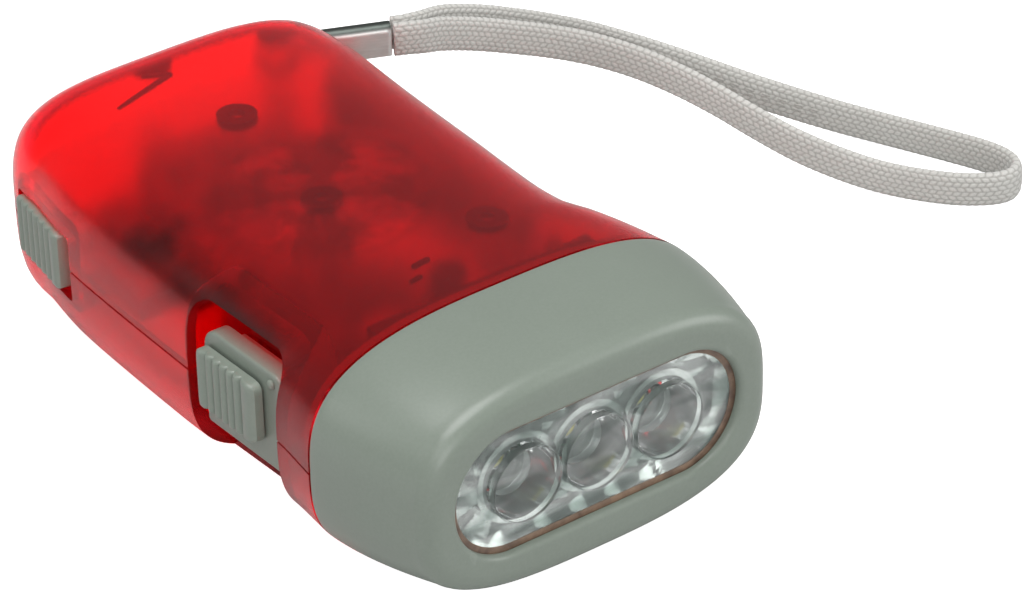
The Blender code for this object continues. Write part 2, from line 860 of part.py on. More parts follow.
def smooth_shaded(thing):
    for face in thing.data.polygons:
        face.use_smooth = True
    thing.data.set_sharp_from_angle(angle=smooth_angle)
    return thing


axle_low_1 = -sector_half - boss_gap
axle_high_1 = first_wheel_high + boss_gap
axle_low_2 = first_wheel_low - boss_gap
axle_high_2 = second_wheel_high + boss_gap
rotor_low = magnet_low - boss_gap
pivot_low = lever_boss_low - boss_gap
pivot_high = lever_boss_high + boss_gap
axle_places = (
    (first_axis, axle_low_1, axle_high_1, axle_radius, axle_radius + boss_wall),
    (rotor_axis, rotor_low, axle_high_2, axle_radius, axle_radius + boss_wall),
    (lever_pivot, pivot_low, pivot_high, lever_pin_radius, pivot_boss_radius),
)


def board_ribs(sign):
    back = board_front_y + board_thickness + joint_gap
    near = sign * (case_half_height - board_rib_reach)
    far = sign * case_half_height
    return [box("rib", (-board_rib_half_width, back, min(near, far)),
                (board_rib_half_width, back + board_rib, max(near, far)))]


def upper_posts():
    parts = [rod("post", place, post_radius, 0.5 * joint_gap, case_half_height) for place in screw_places]
    parts += [rod("boss", at, outer, high, case_half_height) for at, _, high, _, outer in axle_places]
    parts.append(rod("boss", second_axis, axle_radius + boss_wall, axle_high_2, case_half_height))
    board_top = drive_board_z + drive_board_thickness + joint_gap
    parts += [rod("board_post", at, board_post_radius, board_top, case_half_height) for at in board_posts]
    return parts + board_ribs(1.0)


def lower_posts():
    parts = [rod("post", at, lower_post_radius, -case_half_height, -0.5 * joint_gap) for at in screw_places]
    parts += [rod("boss", at, outer, -case_half_height, low) for at, low, _, _, outer in axle_places]
    core_low = core_middle - 0.5 * core_thickness - joint_gap
    parts += [rod("cradle", at, cradle_radius, -case_half_height, core_low) for at in cradle_places]
    stack = cell_count * cell_length + (cell_count + 1) * cell_gap
    reach = contact_thickness + joint_gap
    x, y, _ = cell_start
    for near in (x - reach - contact_rib, x + stack + reach - cell_gap):
        parts.append(box("contact_rib", (near, y - contact_half_width, -case_half_height),
                         (near + contact_rib, y + contact_half_width, contact_rib_top)))
    return parts + board_ribs(-1.0)


def upper_holes():
    top = case_half_height - 2 * wall - screw_clearance
    holes = [rod("pilot", at, screw_radius + screw_clearance, 0.0, top - wall) for at in screw_places]
    holes += [rod("seat", at, radius + joint_gap, 0.0, high + axle_seat)
              for at, _, high, radius, _ in axle_places]
    holes.append(rod("seat", second_axis, axle_radius + joint_gap, 0.0, axle_high_2 + axle_seat))
    return holes


def lower_holes():
    holes = []
    for at in screw_places:
        seat = -case_half_height + screw_sink
        inner, outer = screw_radius + screw_clearance, screw_head_radius + screw_clearance
        profile = ((0.0, 0.0), (inner, 0.0), (inner, seat), (outer, seat), (outer, -case_half_height - overrun),
                   (0.0, -case_half_height - overrun))
        holes.append(shift(turned("screw_hole", profile), (at[0], at[1], 0.0)))
    holes += [rod("seat", at, radius + joint_gap, low - axle_seat, 0.0) for at, low, _, radius, _ in axle_places]
    return holes


def side_prism(name, outline, x_low, x_high):
    """Prism along X of an outline given as (y, z) points."""
    return loft(name, [[(x, y, z) for y, z in outline] for x in (x_low, x_high)])


def rounded_outline(low, high, radii, steps=4):
    """Rectangle with its own radius at each corner, from the low corner round."""
    (x0, y0), (x1, y1) = low, high
    corners = ((x1, y0, -1, 1, -90), (x1, y1, -1, -1, 0), (x0, y1, 1, -1, 90), (x0, y0, 1, 1, 180))
    points = []
    for (x, y, sx, sy, start), radius in zip(corners, radii):
        cx, cy = x + sx * radius, y + sy * radius
        for i in range(steps + 1):
            angle = math.radians(start) + 0.5 * math.pi * i / steps
            points.append((cx + radius * math.cos(angle), cy + radius * math.sin(angle)))
    return points


def smooth_route(points, count):
    """Even steps along a smooth curve through the given points."""
    points = [Vector(point) for point in points]
    ends = [points[0] * 2 - points[1]] + points + [points[-1] * 2 - points[-2]]
    fine = []
    for a, b, c, d in zip(ends, ends[1:], ends[2:], ends[3:]):
        for i in range(route_steps):
            t = i / route_steps
            fine.append(0.5 * (b * 2 + (c - a) * t + (a * 2 - b * 5 + c * 4 - d) * t ** 2
                               + (b * 3 - a - c * 3 + d) * t ** 3))
    fine.append(points[-1])
    marks = [0.0]
    for a, b in zip(fine, fine[1:]):
        marks.append(marks[-1] + (b - a).length)
    route, at = [], 0
    for i in range(count):
        goal = marks[-1] * i / (count - 1)
        while at < len(marks) - 2 and marks[at + 1] < goal:
            at += 1
        share = (goal - marks[at]) / (marks[at + 1] - marks[at])
        route.append(fine[at].lerp(fine[at + 1], min(1.0, share)))
    return route


def directions(route):
    last = len(route) - 1
    return [(route[min(i + 1, last)] - route[max(i - 1, 0)]).normalized() for i in range(last + 1)]


def tube(name, route, radius, sides):
    """Round wire along a route, its section carried along without twist."""
    route = [Vector(point) for point in route]
    ways = directions(route)
    side = ways[0].orthogonal().normalized()
    rings = []
    for point, way in zip(route, ways):
        side = (side - way * side.dot(way)).normalized()
        other = way.cross(side)
        rings.append([point + side * (radius * math.cos(2 * math.pi * i / sides))
                      + other * (radius * math.sin(2 * math.pi * i / sides)) for i in range(sides)])
    return loft(name, rings)


def flat_band(name, route, width, thickness, sides=band_sides):
    """Flat oval band along a route, its width kept upright."""
    route = [Vector(point) for point in route]
    ways = directions(route)
    for end in (0, -1):
        ways[end] = Vector((ways[end].x, ways[end].y, 0.0)).normalized()
    rings = []
    for point, way in zip(route, ways):
        side = way.cross(Vector((0.0, 0.0, 1.0))).normalized()
        tall = side.cross(way).normalized()
        ring = []
        for i in range(sides):
            angle = 2 * math.pi * (i + 0.5) / sides
            c, s = math.cos(angle), math.sin(angle)
            across = 0.5 * thickness * math.copysign(abs(c) ** strap_edge_share, c)
            up = 0.5 * width * math.copysign(abs(s) ** strap_edge_share, s)
            ring.append(point + side * across + tall * up)
        rings.append(ring)
    return loft(name, rings)


def make_optics(clear, silver):
    front = lens_seat_depth + joint_gap
    back = front + lens_flange
    half_a, half_b = opening_half_width + lens_margin, opening_half_height + lens_margin
    lens = loft("lens_optic", [rounded_slot(half_a, half_b, y) for y in (front, back)])
    rear = back + cup_depth
    middle = back + 0.5 * cup_depth
    bore = lamp_radius + lamp_clearance
    profile = ((0.0, back - cup_root), (cup_front_radius, back - cup_root), (cup_front_radius, back),
               (cup_middle_radius, middle), (cup_rear_radius, rear), (bore, rear), (bore, rear - cup_bore_depth),
               (0.0, rear - cup_bore_depth))
    cups = [shift(turn_mesh(turned("cup", profile, round_steps), -0.5 * math.pi, "X"), (lamp_pitch * i, 0.0, 0.0))
            for i in (-1, 0, 1)]
    for cup in cups:
        join(lens, cup)
    smooth_shaded(named(lens, "lens_optic", clear))

    low = back + joint_gap
    tray = loft("reflector", [rounded_slot(half_a - joint_gap, half_b - joint_gap, y)
                              for y in (low, low + reflector_depth)])
    hole = cup_front_radius + joint_gap
    drills = []
    for i in (-1, 0, 1):
        drill = rod("drill", (0.0, 0.0), hole, low - overrun, low + reflector_depth + overrun, round_steps)
        drills.append(shift(along_y(drill), (lamp_pitch * i, 0.0, 0.0)))
    cut(tray, gathered("drills", drills))
    smooth_shaded(named(tray, "reflector", silver))


def lamp_profile():
    dome = [(lamp_radius * math.sin(turn), lamp_radius * (1.0 - math.cos(turn)) - lamp_length)
            for turn in (0.5 * math.pi * i / dome_steps for i in range(dome_steps + 1))]
    collar = [(lamp_radius, -lamp_collar_length), (lamp_collar_radius, -lamp_collar_length),
              (lamp_collar_radius, 0.0), (0.0, 0.0)]
    return dome + collar


def make_lamps(clear, green):
    base = board_front_y - lamp_standoff
    tail = board_front_y + board_thickness + lamp_leg_tail
    for index, step in enumerate((-1, 0, 1), 1):
        lamp = along_y(turned("lamp", lamp_profile()))
        shift(lamp, (lamp_pitch * step, base, 0.0))
        for sign in (-1, 1):
            x = lamp_pitch * step + 0.5 * lamp_leg_pitch * sign
            half = 0.5 * lamp_leg
            join(lamp, box("leg", (x - half, base - lamp_leg, -half), (x + half, tail, half)))
        smooth_shaded(named(lamp, f"led_{index}", clear))
    board = box("led_board", (-lamp_board_half_width, board_front_y, -lamp_board_half_height),
                (lamp_board_half_width, board_front_y + board_thickness, lamp_board_half_height))
    drills = []
    for step in (-1, 0, 1):
        for sign in (-1, 1):
            x = lamp_pitch * step + 0.5 * lamp_leg_pitch * sign
            drill = along_y(rod("drill", (0.0, 0.0), lamp_leg_hole, board_front_y - overrun,
                                board_front_y + board_thickness + overrun, lead_sides * 2))
            drills.append(shift(drill, (x, 0.0, 0.0)))
    cut(board, gathered("drills", drills))
    named(board, "led_board", green)


def bored(thing, centre, radius):
    return cut(thing, rod("bore", centre, radius, -case_half_height, case_half_height))


def wheel_lightening(centre, low, high):
    return gathered("lightening", [
        rod("hole", towards(centre, 2 * math.pi * i / wheel_holes, wheel_hole_circle), wheel_hole_radius,
            low - overrun, high + overrun) for i in range(wheel_holes)])


def make_train(nylon, steel, brass, dark):
    bore = axle_radius + running_clearance
    low = -sector_half - running_clearance
    first = gear_solid("first_gear", first_wheel_teeth, first_phase, first_wheel_low, first_wheel_high)
    shift(first, (*first_axis, 0.0))
    cut(first, wheel_lightening(first_axis, first_wheel_low, first_wheel_high))
    small = gear_solid("small", first_pinion_teeth, first_phase, low, first_wheel_low + pinion_overlap)
    join(first, shift(small, (*first_axis, 0.0)))
    named(bored(first, first_axis, bore), "first_gear", nylon)

    second = gear_solid("second_gear", second_wheel_teeth, second_phase, second_wheel_low, second_wheel_high)
    shift(second, (*second_axis, 0.0))
    cut(second, wheel_lightening(second_axis, second_wheel_low, second_wheel_high))
    small = gear_solid("small", second_pinion_teeth, second_phase, first_wheel_low,
                       second_wheel_low + pinion_overlap)
    join(second, shift(small, (*second_axis, 0.0)))
    named(bored(second, second_axis, bore), "second_gear", nylon)

    pinion = gear_solid("flywheel_pinion", rotor_pinion_teeth, rotor_phase, second_wheel_low, second_wheel_high)
    shift(pinion, (*rotor_axis, 0.0))
    named(bored(pinion, rotor_axis, bore), "flywheel_pinion", brass)

    disc_low = flywheel_top - flywheel_height
    web_top = disc_low + flywheel_web
    rim_inner = flywheel_radius - flywheel_rim
    profile = ((bore, magnet_low), (hub_radius, magnet_low), (hub_radius, disc_low), (flywheel_radius, disc_low),
               (flywheel_radius, flywheel_top), (rim_inner, flywheel_top), (rim_inner, web_top),
               (hub_radius, web_top), (hub_radius, second_wheel_low - joint_gap),
               (bore, second_wheel_low - joint_gap))
    flywheel = shift(turned("flywheel", profile, disc_steps), (*rotor_axis, 0.0))
    smooth_shaded(named(flywheel, "flywheel", steel))
    inner = hub_radius + joint_gap
    profile = ((inner, magnet_low), (magnet_radius, magnet_low), (magnet_radius, magnet_high),
               (inner, magnet_high))
    magnet = shift(turned("ring_magnet", profile, disc_steps), (*rotor_axis, 0.0))
    smooth_shaded(named(magnet, "ring_magnet", dark))

    tip = axle_seat - joint_gap
    pins = (
        ("first_axle", first_axis, axle_low_1 - tip, axle_high_1 + tip, axle_radius),
        ("second_axle", second_axis, axle_low_2, axle_high_2 + tip, axle_radius),
        ("rotor_axle", rotor_axis, rotor_low - tip, axle_high_2 + tip, axle_radius),
        ("lever_pin", lever_pivot, pivot_low - tip, pivot_high + tip, lever_pin_radius),
    )
    for name, at, bottom, top, radius in pins:
        smooth_shaded(named(rod(name, at, radius, bottom, top, small_steps), name, steel))


def make_generator(core_steel, black, copper):
    x, y = rotor_axis
    outer = magnet_radius + pole_gap + pole_wall
    inner = outer - core_leg
    front = coil_y - 0.5 * core_thickness
    rear = y + core_tail
    inside = coil_y + 0.5 * core_thickness
    outline = [(x - outer, front), (x + outer, front), (x + outer, rear), (x + inner, rear), (x + inner, inside),
               (x - inner, inside), (x - inner, rear), (x - outer, rear)]
    core = prism("stator_core", outline, core_middle - 0.5 * core_thickness, core_middle + 0.5 * core_thickness)
    cut(core, rod("pole", rotor_axis, magnet_radius + pole_gap, magnet_low - overrun, magnet_high + overrun,
                  disc_steps))
    named(core, "stator_core", core_steel)

    half = inner - joint_gap
    hole = 0.5 * core_thickness + joint_gap
    spool = math.hypot(hole, hole) + bobbin_wall
    inside = half - bobbin_flange_width
    profile = ((0.0, -half), (coil_bobbin_flange, -half), (coil_bobbin_flange, -inside), (spool, -inside),
               (spool, inside), (coil_bobbin_flange, inside), (coil_bobbin_flange, half), (0.0, half))
    bobbin = along_x(turned("coil_bobbin", profile, barrel_steps))
    cut(bobbin, box("square", (-half - overrun, -hole, -hole), (half + overrun, hole, hole)))
    shift(bobbin, (x, coil_y, core_middle))
    smooth_shaded(named(bobbin, "coil_bobbin", black))

    half = inside - joint_gap
    step = half / winding_turns
    profile = [(spool + joint_gap, -half), (winding_radius, -half)]
    for i in range(1, 2 * winding_turns):
        profile.append((winding_radius + winding_groove * (i % 2), i * step - half))
    profile += [(winding_radius, half), (spool + joint_gap, half)]
    winding = along_x(turned("coil_winding", profile, barrel_steps))
    shift(winding, (x, coil_y, core_middle))
    smooth_shaded(named(winding, "coil_winding", copper))


def grip_outline(inset, depth, rear_inset):
    """Plan of the grip between its outer face drawn in by inset and a depth behind it."""
    front, rear = lever_front_y + rear_inset, lever_rear_y - rear_inset
    ys = [front + (rear - front) * i / (grip_stations - 1) for i in range(grip_stations)]
    outside = [(lever_outer_x(y) - inset, y) for y in ys]
    inside = [(lever_outer_x(y) - depth, y) for y in reversed(ys)]
    return outside + inside


def sector_outline():
    root = pitch_radius(sector_full_teeth) - dedendum_share * gear_module
    inner = root - sector_rim
    step = 2.0 * math.pi / sector_full_teeth
    plain = [(root * math.cos(a), root * math.sin(a)) for a in
             (sector_start_angle + (sector_teeth_start_angle - sector_start_angle) * i / sector_plain_steps
              for i in range(sector_plain_steps))]
    teeth = []
    for k in range(sector_full_teeth):
        angle = sector_phase + step * (k - sector_full_teeth // 2)
        if sector_teeth_start_angle < angle - 0.5 * step and angle + 0.5 * step < sector_end_angle:
            teeth += tooth_points(sector_full_teeth, angle)
    back = [(inner * math.cos(a), inner * math.sin(a)) for a in
            (sector_end_angle + (sector_start_angle - sector_end_angle) * i / sector_back_steps
             for i in range(sector_back_steps + 1))]
    tip = (root * math.cos(sector_end_angle), root * math.sin(sector_end_angle))
    return [(x + lever_pivot[0], y + lever_pivot[1]) for x, y in plain + teeth + [tip] + back]


def make_lever(grey, steel):
    lever = prism("lever", grip_outline(0.0, lever_depth, 0.0), -lever_half_height, lever_half_height)
    work = bmesh.new()
    work.from_mesh(lever.data)
    ends = [edge for edge in work.edges if edge.calc_face_angle(0.0) > 1.0]
    bmesh.ops.bevel(work, geom=ends, offset=lever_bevel, segments=2, affect="EDGES", profile=0.5)
    work.to_mesh(lever.data)
    work.free()
    inside = lever_half_height - lever_wall
    cut(lever, prism("hollow", grip_outline(lever_wall, lever_depth + overrun, lever_wall), -inside, inside))
    arm = [(seam_half_width * across, lever_front_y * along) for across, along in arm_shares]
    join(lever, prism("arm", arm, -arm_half_height, arm_half_height))
    join(lever, rod("hinge", lever_pivot, lever_boss_radius, lever_boss_low, lever_boss_high, round_steps))
    join(lever, prism("sector", sector_outline(), -sector_half, sector_half))
    bored(lever, lever_pivot, lever_pin_radius + running_clearance)
    smooth_shaded(named(lever, "lever", grey))

    x, y = lever_pivot
    top = -arm_half_height - 0.5 * lever_spring_wire - joint_gap
    leg, near = lever_spring_leg, x - lever_spring_radius
    points = [(near, y + leg, top), (near, y + lever_spring_start_share * leg, top)]
    for i in range(curl_points * lever_spring_turns + 1):
        angle = math.pi + 2.0 * math.pi * i / curl_points
        points.append((x + lever_spring_radius * math.cos(angle), y + lever_spring_radius * math.sin(angle),
                       top - lever_spring_pitch * i / curl_points))
    low = points[-1][2]
    points += [(near, y - share * leg, low) for share in lever_spring_tail_shares]
    smooth_shaded(named(tube("lever_spring", points, 0.5 * lever_spring_wire, spring_sides), "lever_spring", steel))


def ribbed_outline(front, rear, inner, outer, bar, heel, ribs, depth):
    """Plan of a thumb pad: flat bar in front, a row of round ribs, a flat heel behind."""
    start, end = front + bar, rear - heel
    points = [(inner, rear), (inner, front), (outer, front)]
    for i in range(ribs * rib_steps + 1):
        share = i / (ribs * rib_steps)
        dip = 0.5 * depth * (1.0 - math.cos(2.0 * math.pi * share * ribs))
        points.append((outer + dip, start + (end - start) * share))
    points.append((outer, rear))
    return points


def make_switch(grey, black):
    face = -plate_face_x
    back = face + plate_thickness
    low, high = (plate_front_y, -plate_half_height), (plate_rear_y, plate_half_height)
    outline = rounded_outline(low, high, (plate_foot_round, plate_round, plate_round, plate_foot_round))
    plate = side_prism("switch_plate", outline, face, back)
    inset = plate_back_inset
    foot = side_prism("foot", [(low[0] + inset, low[1] + inset), (high[0] - inset, low[1] + inset),
                               (high[0] - inset, high[1] - inset), (low[0] + inset, high[1] - inset)],
                      back - 0.5 * joint_gap, -recess_floor_x - joint_gap)
    join(plate, foot)
    front = stem_y - stem_half_length - knob_travel - slot_clearance
    rear = stem_y + stem_half_length + slot_clearance
    tall = stem_half_height + slot_clearance
    cut(plate, box("slot", (face - overrun, front, -tall), (-recess_floor_x, rear, tall)))
    dot = turn_mesh(rod("dot", (0.0, 0.0), dot_radius, -dot_height, dot_height), 0.5 * math.pi, "Y")
    join(plate, shift(dot, (face, plate_front_y + plate_round, plate_half_height - dot_inset)))
    smooth_shaded(named(plate, "switch_plate", grey))

    inner = face - joint_gap
    outer = inner - knob_thickness
    plan = ribbed_outline(knob_front_y, knob_rear_y, inner, outer, knob_bar, knob_heel, knob_ribs,
                          knob_rib_depth)
    knob = prism("switch_knob", plan, knob_low, knob_high)
    outline = rounded_outline((knob_front_y, knob_low), (knob_rear_y, knob_high), (knob_round,) * 4)
    keep(knob, side_prism("rounding", outline, outer - overrun, inner + overrun))
    tip = -recess_floor_x + wall + stem_reach
    join(knob, box("stem", (inner - 0.5 * knob_thickness, stem_y - stem_half_length, -stem_half_height),
                   (tip, stem_y + stem_half_length, stem_half_height)))
    smooth_shaded(named(knob, "switch_knob", grey))

    near = -recess_floor_x + wall
    body = box("slide_switch_body", (near, stem_y - switch_half_length, -switch_half_height),
               (near + switch_depth, stem_y + switch_half_length, switch_half_height), 0.5 * joint_gap)
    cut(body, box("pocket", (near - overrun, front, -tall), (near + switch_pocket, rear, tall)))
    for step in (-1, 0, 1):
        y = stem_y + step * switch_half_length * switch_pin_share
        join(body, box("pin", (near + switch_depth - joint_gap, y - 0.5 * switch_pin, -0.5 * switch_pin),
                       (near + switch_depth + 2 * switch_pin, y + 0.5 * switch_pin, 0.5 * switch_pin)))
    named(body, "slide_switch_body", black)


def make_latch(grey):
    front, rear = -0.5 * latch_length, 0.5 * latch_length
    plan = ribbed_outline(front, rear, latch_thickness - latch_proud, -latch_proud, latch_bar, latch_heel,
                          latch_ribs, latch_rib_depth)
    latch = prism("lever_latch", plan, -latch_half_height, latch_half_height)
    outline = rounded_outline((front, -latch_half_height), (rear, latch_half_height), (latch_bevel,) * 4, 2)
    keep(latch, side_prism("rounding", outline, -overrun, latch_thickness + overrun))
    arm_near = latch_pocket_depth + wall + slot_clearance
    arm_far = arm_near + latch_arm_thickness
    join(latch, box("neck", (0.5 * latch_thickness - latch_proud, -latch_neck_half, -latch_neck_half_height),
                    (arm_far, latch_neck_half, latch_neck_half_height)))
    arm_front = latch_arm_front_y - latch_centre[1]
    join(latch, box("arm", (arm_near, arm_front, -latch_arm_half_height),
                    (arm_far, latch_neck_half, latch_arm_half_height)))
    join(latch, box("hook", (arm_near, arm_front, -latch_arm_half_height),
                    (arm_far + latch_hook_reach, arm_front + latch_hook_width, latch_arm_half_height)))
    latch_frame(latch)
    smooth_shaded(named(latch, "lever_latch", grey))


def make_screws(steel):
    seat = -case_half_height + screw_sink - joint_gap
    low = seat - screw_head_height
    for index, place in enumerate(screw_places, 1):
        top = low + screw_length
        profile = ((0.0, low), (screw_head_radius, low), (screw_head_radius, seat), (screw_radius, seat),
                   (screw_radius, top - screw_radius), (screw_tip_share * screw_radius, top), (0.0, top))
        screw = shift(turned("screw", profile), (*place, 0.0))
        half = screw_slot_share * screw_head_radius
        for dx, dy in ((half, 0.5 * screw_slot), (0.5 * screw_slot, half)):
            cut(screw, box("drive", (place[0] - dx, place[1] - dy, low - overrun),
                           (place[0] + dx, place[1] + dy, low + 0.5 * screw_head_height)))
        smooth_shaded(named(screw, f"case_screw_{index}", steel))


def make_power(silver, brass):
    x, y, z = cell_start
    for index in range(cell_count):
        start = x + cell_gap + index * (cell_length + cell_gap)
        rim = cell_radius - cell_round
        profile = ((0.0, 0.0), (rim, 0.0), (cell_radius, cell_round), (cell_radius, cell_length - cell_round),
                   (rim, cell_length), (0.0, cell_length))
        cell = along_x(turned("cell", profile, round_steps))
        smooth_shaded(named(shift(cell, (start, y, z)), f"cell_{index + 1}", silver))
    stack = cell_count * cell_length + (cell_count + 1) * cell_gap
    for name, near in (("contact_left", x - contact_thickness), ("contact_right", x + stack)):
        plate = box(name, (near, y - contact_half_width, z - contact_half_height),
                    (near + contact_thickness, y + contact_half_width, z + contact_half_height))
        named(plate, name, brass)


def axial_part(name, place, radius, length, material):
    """Small barrel lying on the board along Y, its two leads bent down to the copper."""
    lift = drive_board_z + drive_board_thickness + joint_gap + radius
    rim, bend = barrel_rim_share * radius, barrel_round_share * radius
    half = 0.5 * length
    profile = ((0.0, -half), (rim, -half), (radius, bend - half), (radius, half - bend), (rim, half), (0.0, half))
    barrel = along_y(turned(name, profile, lead_sides * 2))
    lead = half + diode_lead_length * 0.5
    foot = joint_gap - lift + drive_board_z + drive_board_thickness
    for sign in (-1, 1):
        route = [(0.0, sign * (half - diode_lead), 0.0), (0.0, sign * lead, 0.0),
                 (0.0, sign * (lead + diode_lead), -diode_lead), (0.0, sign * (lead + diode_lead), foot)]
        join(barrel, tube("lead", route, 0.5 * diode_lead, lead_sides))
    shift(barrel, (place[0], place[1], lift))
    return smooth_shaded(named(barrel, name, material))


def make_drive_board(green, black, tan, blue):
    (x, y), (width, depth) = drive_board_corner, drive_board_size
    board = box("drive_board", (x, y, drive_board_z), (x + width, y + depth, drive_board_z + drive_board_thickness))
    named(board, "drive_board", green)
    for index, place in enumerate(diode_places, 1):
        axial_part(f"diode_{index}", place, diode_radius, diode_length, black)
    resistor = axial_part("resistor", (0.0, 0.0), resistor_radius, diode_length, tan)
    shift(turn_mesh(resistor, 0.5 * math.pi, "Z"), (*resistor_place, 0.0))
    base = drive_board_z + drive_board_thickness + joint_gap
    rim = capacitor_rim_share * capacitor_radius
    shoulder, top = base + capacitor_shoulder_share * capacitor_height, base + capacitor_height
    profile = ((0.0, base), (capacitor_radius, base), (capacitor_radius, shoulder), (rim, top), (0.0, top))
    can = shift(turned("capacitor", profile, barrel_steps), (*capacitor_place, 0.0))
    smooth_shaded(named(can, "capacitor", blue))


def make_wires(red, black, yellow):
    materials = {"red": red, "black": black, "yellow": yellow}
    for name, colour, count, points in wire_routes:
        wire = tube(name, smooth_route(points, count), wire_radius, spring_sides)
        smooth_shaded(named(wire, name, materials[colour]))


def crimp_block(name, grow):
    """Folded metal tab that leaves the case at its rear right shoulder."""
    way = (math.cos(crimp_angle), math.sin(crimp_angle))
    side = (-way[1], way[0])
    half = crimp_half_thickness + grow
    reach = crimp_length + grow
    x, y = crimp_end
    tip = grow * 4
    corners = [(x + way[0] * a + side[0] * b, y + way[1] * a + side[1] * b)
               for a, b in ((-reach, -half), (tip, -half), (tip, half), (-reach, half))]
    return prism(name, corners, crimp_bottom - grow, crimp_top + grow)


def make_strap(steel, cord):
    crimp = crimp_block("strap_crimp", 0.0)
    post = screw_places[2]
    inner = post_radius + joint_gap
    eye = rod("eye", post, inner + crimp_eye_wall, crimp_bottom, crimp_eye_top, round_steps)
    join(crimp, eye)
    cut(crimp, rod("eye_hole", post, inner, crimp_bottom - overrun, crimp_top + overrun, round_steps))
    named(crimp, "strap_crimp", steel)

    way = (math.cos(crimp_angle), math.sin(crimp_angle))
    side = (-way[1], way[0])
    middle = 0.5 * (crimp_bottom + crimp_top)
    ends = []
    for sign in (1.0, -1.0):
        for ahead in (joint_gap, joint_gap + strap_straight):
            ends.append((crimp_end[0] + way[0] * ahead + side[0] * sign * strap_spread,
                         crimp_end[1] + way[1] * ahead + side[1] * sign * strap_spread, middle))
    points = ends[:2] + list(strap_route) + [ends[3], ends[2]]
    band = flat_band("wrist_strap", smooth_route(points, strap_points), strap_width, strap_thickness)
    smooth_shaded(named(band, "wrist_strap", cord))


def main():
    clear_scene()
    red = make_material("clear_red_plastic", (0.80, 0.02, 0.03), 0.12)
    grey = make_material("grey_plastic", (0.30, 0.34, 0.29), 0.35)
    white = make_material("white_nylon", (0.80, 0.80, 0.76), 0.45)
    black = make_material("black_plastic", (0.02, 0.02, 0.02), 0.45)
    clear = make_material("clear_plastic", (0.90, 0.92, 0.93), 0.05)
    silver = make_material("bright_metal", (0.75, 0.75, 0.76), 0.20, 1.0)
    steel = make_material("steel", (0.45, 0.45, 0.46), 0.35, 1.0)
    brass = make_material("brass", (0.70, 0.50, 0.22), 0.35, 1.0)
    dark = make_material("ferrite", (0.05, 0.05, 0.055), 0.60)
    copper = make_material("enamelled_copper", (0.65, 0.24, 0.08), 0.35, 1.0)
    green = make_material("board_green", (0.03, 0.18, 0.07), 0.45)
    tan = make_material("tan_lacquer", (0.60, 0.45, 0.28), 0.50)
    blue = make_material("blue_sleeve", (0.03, 0.06, 0.22), 0.35)
    wire_red = make_material("red_insulation", (0.60, 0.03, 0.02), 0.45)
    wire_yellow = make_material("yellow_insulation", (0.70, 0.55, 0.06), 0.45)
    cord = make_material("woven_cord", (0.72, 0.70, 0.64), 0.90)

    for shell in make_case(red):
        smooth_shaded(shell)
    smooth_shaded(make_bezel(grey))
    make_optics(clear, silver)
    make_lamps(clear, green)
    make_train(white, steel, brass, dark)
    make_generator(steel, black, copper)
    make_lever(grey, steel)
    make_switch(grey, black)
    make_latch(grey)
    make_screws(steel)
    make_power(silver, brass)
    make_drive_board(green, black, tan, blue)
    make_wires(wire_red, black, wire_yellow)
    make_strap(steel, cord)

    root = bpy.data.objects.new("flashlight", None)
    bpy.context.scene.collection.objects.link(root)
    root.location = (0.0, -0.5 * body_length, case_half_height - flat_depth)
    for thing in list(bpy.data.objects):
        if thing.type == "MESH":
            thing.parent = root


main()
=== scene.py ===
import math

import bmesh
import bpy
from mathutils import Matrix, Vector


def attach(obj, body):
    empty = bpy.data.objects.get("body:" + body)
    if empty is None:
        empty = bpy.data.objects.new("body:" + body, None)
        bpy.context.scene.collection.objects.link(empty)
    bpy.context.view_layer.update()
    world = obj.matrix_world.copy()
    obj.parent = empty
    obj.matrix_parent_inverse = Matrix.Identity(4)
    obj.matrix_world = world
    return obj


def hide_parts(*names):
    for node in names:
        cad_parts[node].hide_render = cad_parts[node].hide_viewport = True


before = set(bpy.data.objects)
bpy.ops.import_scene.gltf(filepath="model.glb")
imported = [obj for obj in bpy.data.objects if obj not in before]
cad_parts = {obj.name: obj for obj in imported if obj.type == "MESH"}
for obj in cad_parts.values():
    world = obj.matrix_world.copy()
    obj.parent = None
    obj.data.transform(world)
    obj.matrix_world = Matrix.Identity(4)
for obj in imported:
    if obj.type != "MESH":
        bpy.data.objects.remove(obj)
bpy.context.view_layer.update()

# Lengths are millimetres in the light's own frame: y = 0 at the front rim, z = 0 at the parting plane
unit = 0.001
standing = (0.0, -47.6, 14.25)
toWorld = Matrix.Scale(unit, 4) @ Matrix.Translation(standing)
past = 2.0  # how far a cutting tool runs on past what it cuts


def worldPoint(point):
    return toWorld @ Vector(point)


# The photograph's angle, its frame taken as 1034 x 600
cameraValues = {
    "heading": 0.597, "elevation": 0.54, "roll": -0.049, "target": (0.0, 50.0, 0.0), "distance": 522.4,
    "focalPixels": 4500.0, "centreX": 333.317, "centreY": 270.761, "frameWidth": 1034.0, "frameHeight": 600.0,
    "sensor": 36.0, "clip": (0.01, 20.0),
}


